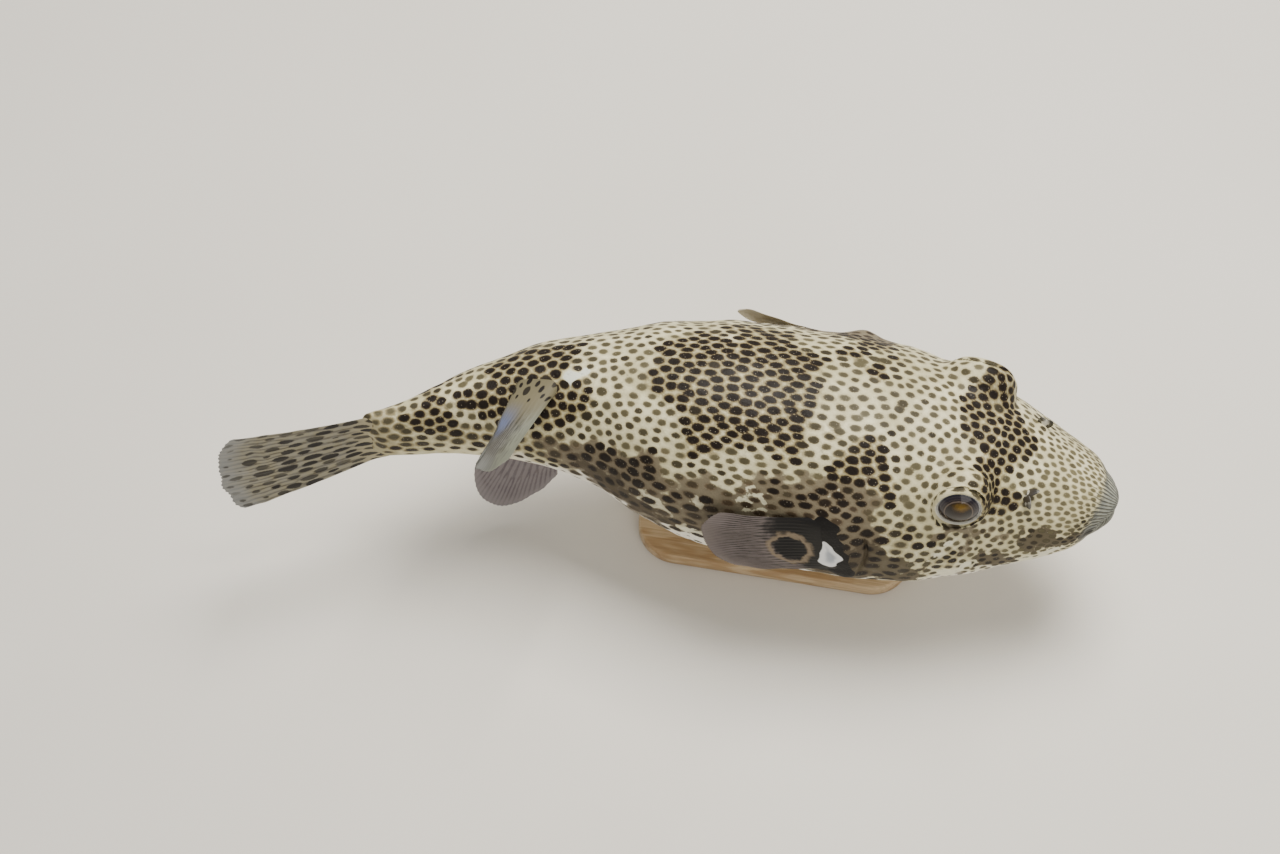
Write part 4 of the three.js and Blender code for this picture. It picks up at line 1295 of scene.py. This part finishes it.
def eye_look():
    look = Look("wet_eye", (34, 22, 10),
                Roughness=0.3, Specular_IOR_Level=0.0, Coat_Weight=0.7, Coat_Roughness=0.02)
    up, fore = look.attributes("up fore")
    away = oval(up, fore)
    grain = look.noise(look.plane(up, fore), 7, 4)
    spread = away + grain * 0.05
    look.cover(away.step(0.0, 0.6), (20, 13, 9))
    # A golden patch in the upper pupil: a painted reflection from inside the eye.
    pupil_reflection = oval(up, fore, (0.4, 0.08), (0.3, 0.55)) + grain * 0.7
    look.cover(pupil_reflection.step(0.0, 1.1, 0.8, 0.0), (116, 88, 26))
    iris = look.mix(away.step(0.62, 0.98), (32, 23, 18), (38, 35, 46))
    iris = look.mix((spread * 60).math("SINE").step(0.2, 1.0, 0.0, 0.16), iris, (104, 92, 84))
    look.cover(spread.step(0.62, 0.66), iris)
    look.cover(spread.step(0.62, 0.655) * spread.step(0.67, 0.71, 1.0, 0.0) * 0.6, (112, 98, 86))
    look.cover(away.step(0.93, 0.99), (186, 186, 184))
    return look


def beak_look():
    look = Look("ivory_beak", (226, 214, 184), Roughness=0.3, Coat_Weight=0.4, Coat_Roughness=0.15)
    gum, across = look.attributes("gum across")
    lines = look.noise(look.stretch(look.plane(across, gum * 0.007), 1, 6, 1), 420)
    look.cover(lines.step(-0.3, 0.3), (196, 180, 146))
    look.cover((gum + lines * 0.3).step(0.35, 0.8, 0.0, 0.6), (140, 114, 84))
    look.bump(lines, 0.0001)
    return look


def flap_look():
    look = Look("nasal_skin", (52, 46, 36), Roughness=0.45, Coat_Weight=0.2, Coat_Roughness=0.3)
    share = look.attribute("share")
    mottle = look.noise(look.object_place(), 180)
    # Pale mottles: partly the flaps' own pale skin, partly a painted highlight on them.
    look.cover(mottle.step(0.0, 0.1), (196, 192, 176))
    look.cover(share.step(0.0, 0.25, 0.8, 0.0), (150, 138, 108))
    look.cover(share.step(0.5, 0.85, 0.0, 0.85), (32, 27, 20))
    look.bump(mottle, 0.0002)
    return look


def wood_look():
    look = Look("oiled_wood", (206, 180, 140), Coat_Weight=0.1, Coat_Roughness=0.4)
    place = look.object_place()
    warp = look.noise(look.stretch(place, 6, 26, 26), 1, 4) * 46
    growth = warp + look.noise(look.stretch(place, 2, 40, 40), 1) * 20
    fibre = look.noise(look.stretch(place, 30, 900, 900), 1, 4)
    look.cover(growth.math("SINE").step(-1.0, 1.0), (176, 144, 102))
    look.cover(fibre.step(-0.2, 0.3, 0.0, 0.55), (136, 104, 70))
    look.link(fibre.step(-0.3, 0.3, 0.42, 0.6), "Roughness")
    look.bump(fibre, 0.00015)
    return look


def steel_look():
    look = Look("brushed_steel", (196, 198, 200), Metallic=1.0)
    brush = look.noise(look.stretch(look.object_place(), 160, 160, 5200), 1)
    look.cover(brush.step(-0.3, 0.3), (150, 152, 155))
    look.link(brush.step(-0.3, 0.3, 0.24, 0.42), "Roughness")
    look.bump(brush, 0.00004)
    return look


FIN_LOOKS = {  # web, rays, edge, fleshy root, and where a fin has them, its spots and front rays
    "caudal_fin": ("tail_web", (140, 133, 108), (90, 83, 64), (138, 139, 138), (160, 150, 120), (20, 15, 11)),
    "dorsal_fin": ("dorsal_web", (84, 80, 72), (38, 35, 30), (104, 104, 98), (104, 97, 74), (24, 19, 14),
                   (124, 126, 110)),
    "anal_fin": ("anal_web", (124, 116, 117), (94, 87, 89), (138, 131, 131), (86, 76, 66)),
    "pectoral_fin_right": ("pectoral_web", (108, 98, 94), (16, 14, 13), (116, 106, 102), (30, 26, 24)),
    # The left pectoral fin gets a lighter copy of the pectoral colours: painted light on a fin that lies in
    # shade.
    "pectoral_fin_left": ("lit_pectoral_web", (206, 194, 160), (150, 136, 104), (220, 212, 184),
                          (44, 38, 32)),
}
for name, tints in FIN_LOOKS.items():
    fin_look(*tints, marked=name.startswith("pectoral")).on(fins[name])
skin_look().on(skin)
eye_look().on(*eyes)
beak_look().on(*beaks)
flap_look().on(*nasal_flaps)
wood_look().on(board)
steel_look().on(*rods)

# ---- Studio -------------------------------------------------------------------------------------------

FLOOR = 4  # half its side, in metres
floor_mesh = bpy.data.meshes.new("floor")
corners = [(x * FLOOR, y * FLOOR, 0) for x, y in ((-1, -1), (1, -1), (1, 1), (-1, 1))]
floor_mesh.from_pydata(corners, [], [(0, 1, 2, 3)])
floor = add_object("floor", floor_mesh)
floor_look = Look("pale_floor", (226, 220, 208), Roughness=0.8)
floor_look.cover(floor_look.noise(floor_look.object_place(), 3).step(-0.4, 0.4), (232, 227, 216))
floor_look.on(floor)

world = bpy.data.worlds.new("studio")
world.use_nodes = True
for socket, value in (("Color", (0.97, 0.98, 1.0, 1)), ("Strength", 0.45)):
    world.node_tree.nodes["Background"].inputs[socket].default_value = value
bpy.context.scene.world = world


def softbox(name, place, target, size, watts, tint=(1, 1, 1)):
    light = bpy.data.lights.new(name, "AREA")
    light.shape = "SQUARE"
    light.size = size
    light.energy = watts
    light.color = tint
    lamp = add_object(name, light)
    lamp.location = place
    lamp.rotation_euler = (Vector(target) - Vector(place)).to_track_quat("-Z", "Y").to_euler()


softbox("overhead", (0.15, 0.5, 1.8), (0, 0, 0.1), 1.0, 56, (1.0, 0.975, 0.93))
softbox("front_fill", (0.9, -1.5, 1.0), (0, 0, 0.1), 1.2, 10, (1.0, 0.96, 0.9))

# The camera looks down on the fish's right side, a little from its front.
CAMERA_AZIMUTH, CAMERA_ELEVATION = math.radians(10), math.radians(62)
CAMERA_DISTANCE = 1.63
CAMERA_AIM = SNOUT_TIP + np.array([-0.3, 0, 0])  # on the line of the trunk, where the tail begins to turn
AIM_RIGHT, AIM_UP = -0.01315, 0.00242
back = np.array([
    math.sin(CAMERA_AZIMUTH) * math.cos(CAMERA_ELEVATION),
    -math.cos(CAMERA_AZIMUTH) * math.cos(CAMERA_ELEVATION),
    math.sin(CAMERA_ELEVATION),
])
right = np.array([math.cos(CAMERA_AZIMUTH), math.sin(CAMERA_AZIMUTH), 0])
aim = CAMERA_AIM + right * AIM_RIGHT + np.cross(back, right) * AIM_UP
camera_data = bpy.data.cameras.new("camera")
camera_data.lens = 70
camera_data.sensor_width = 36
camera = add_object("camera", camera_data)
camera.location = aim + back * CAMERA_DISTANCE
camera.rotation_euler = Vector(back).to_track_quat("Z", "Y").to_euler()
bpy.context.scene.camera = camera
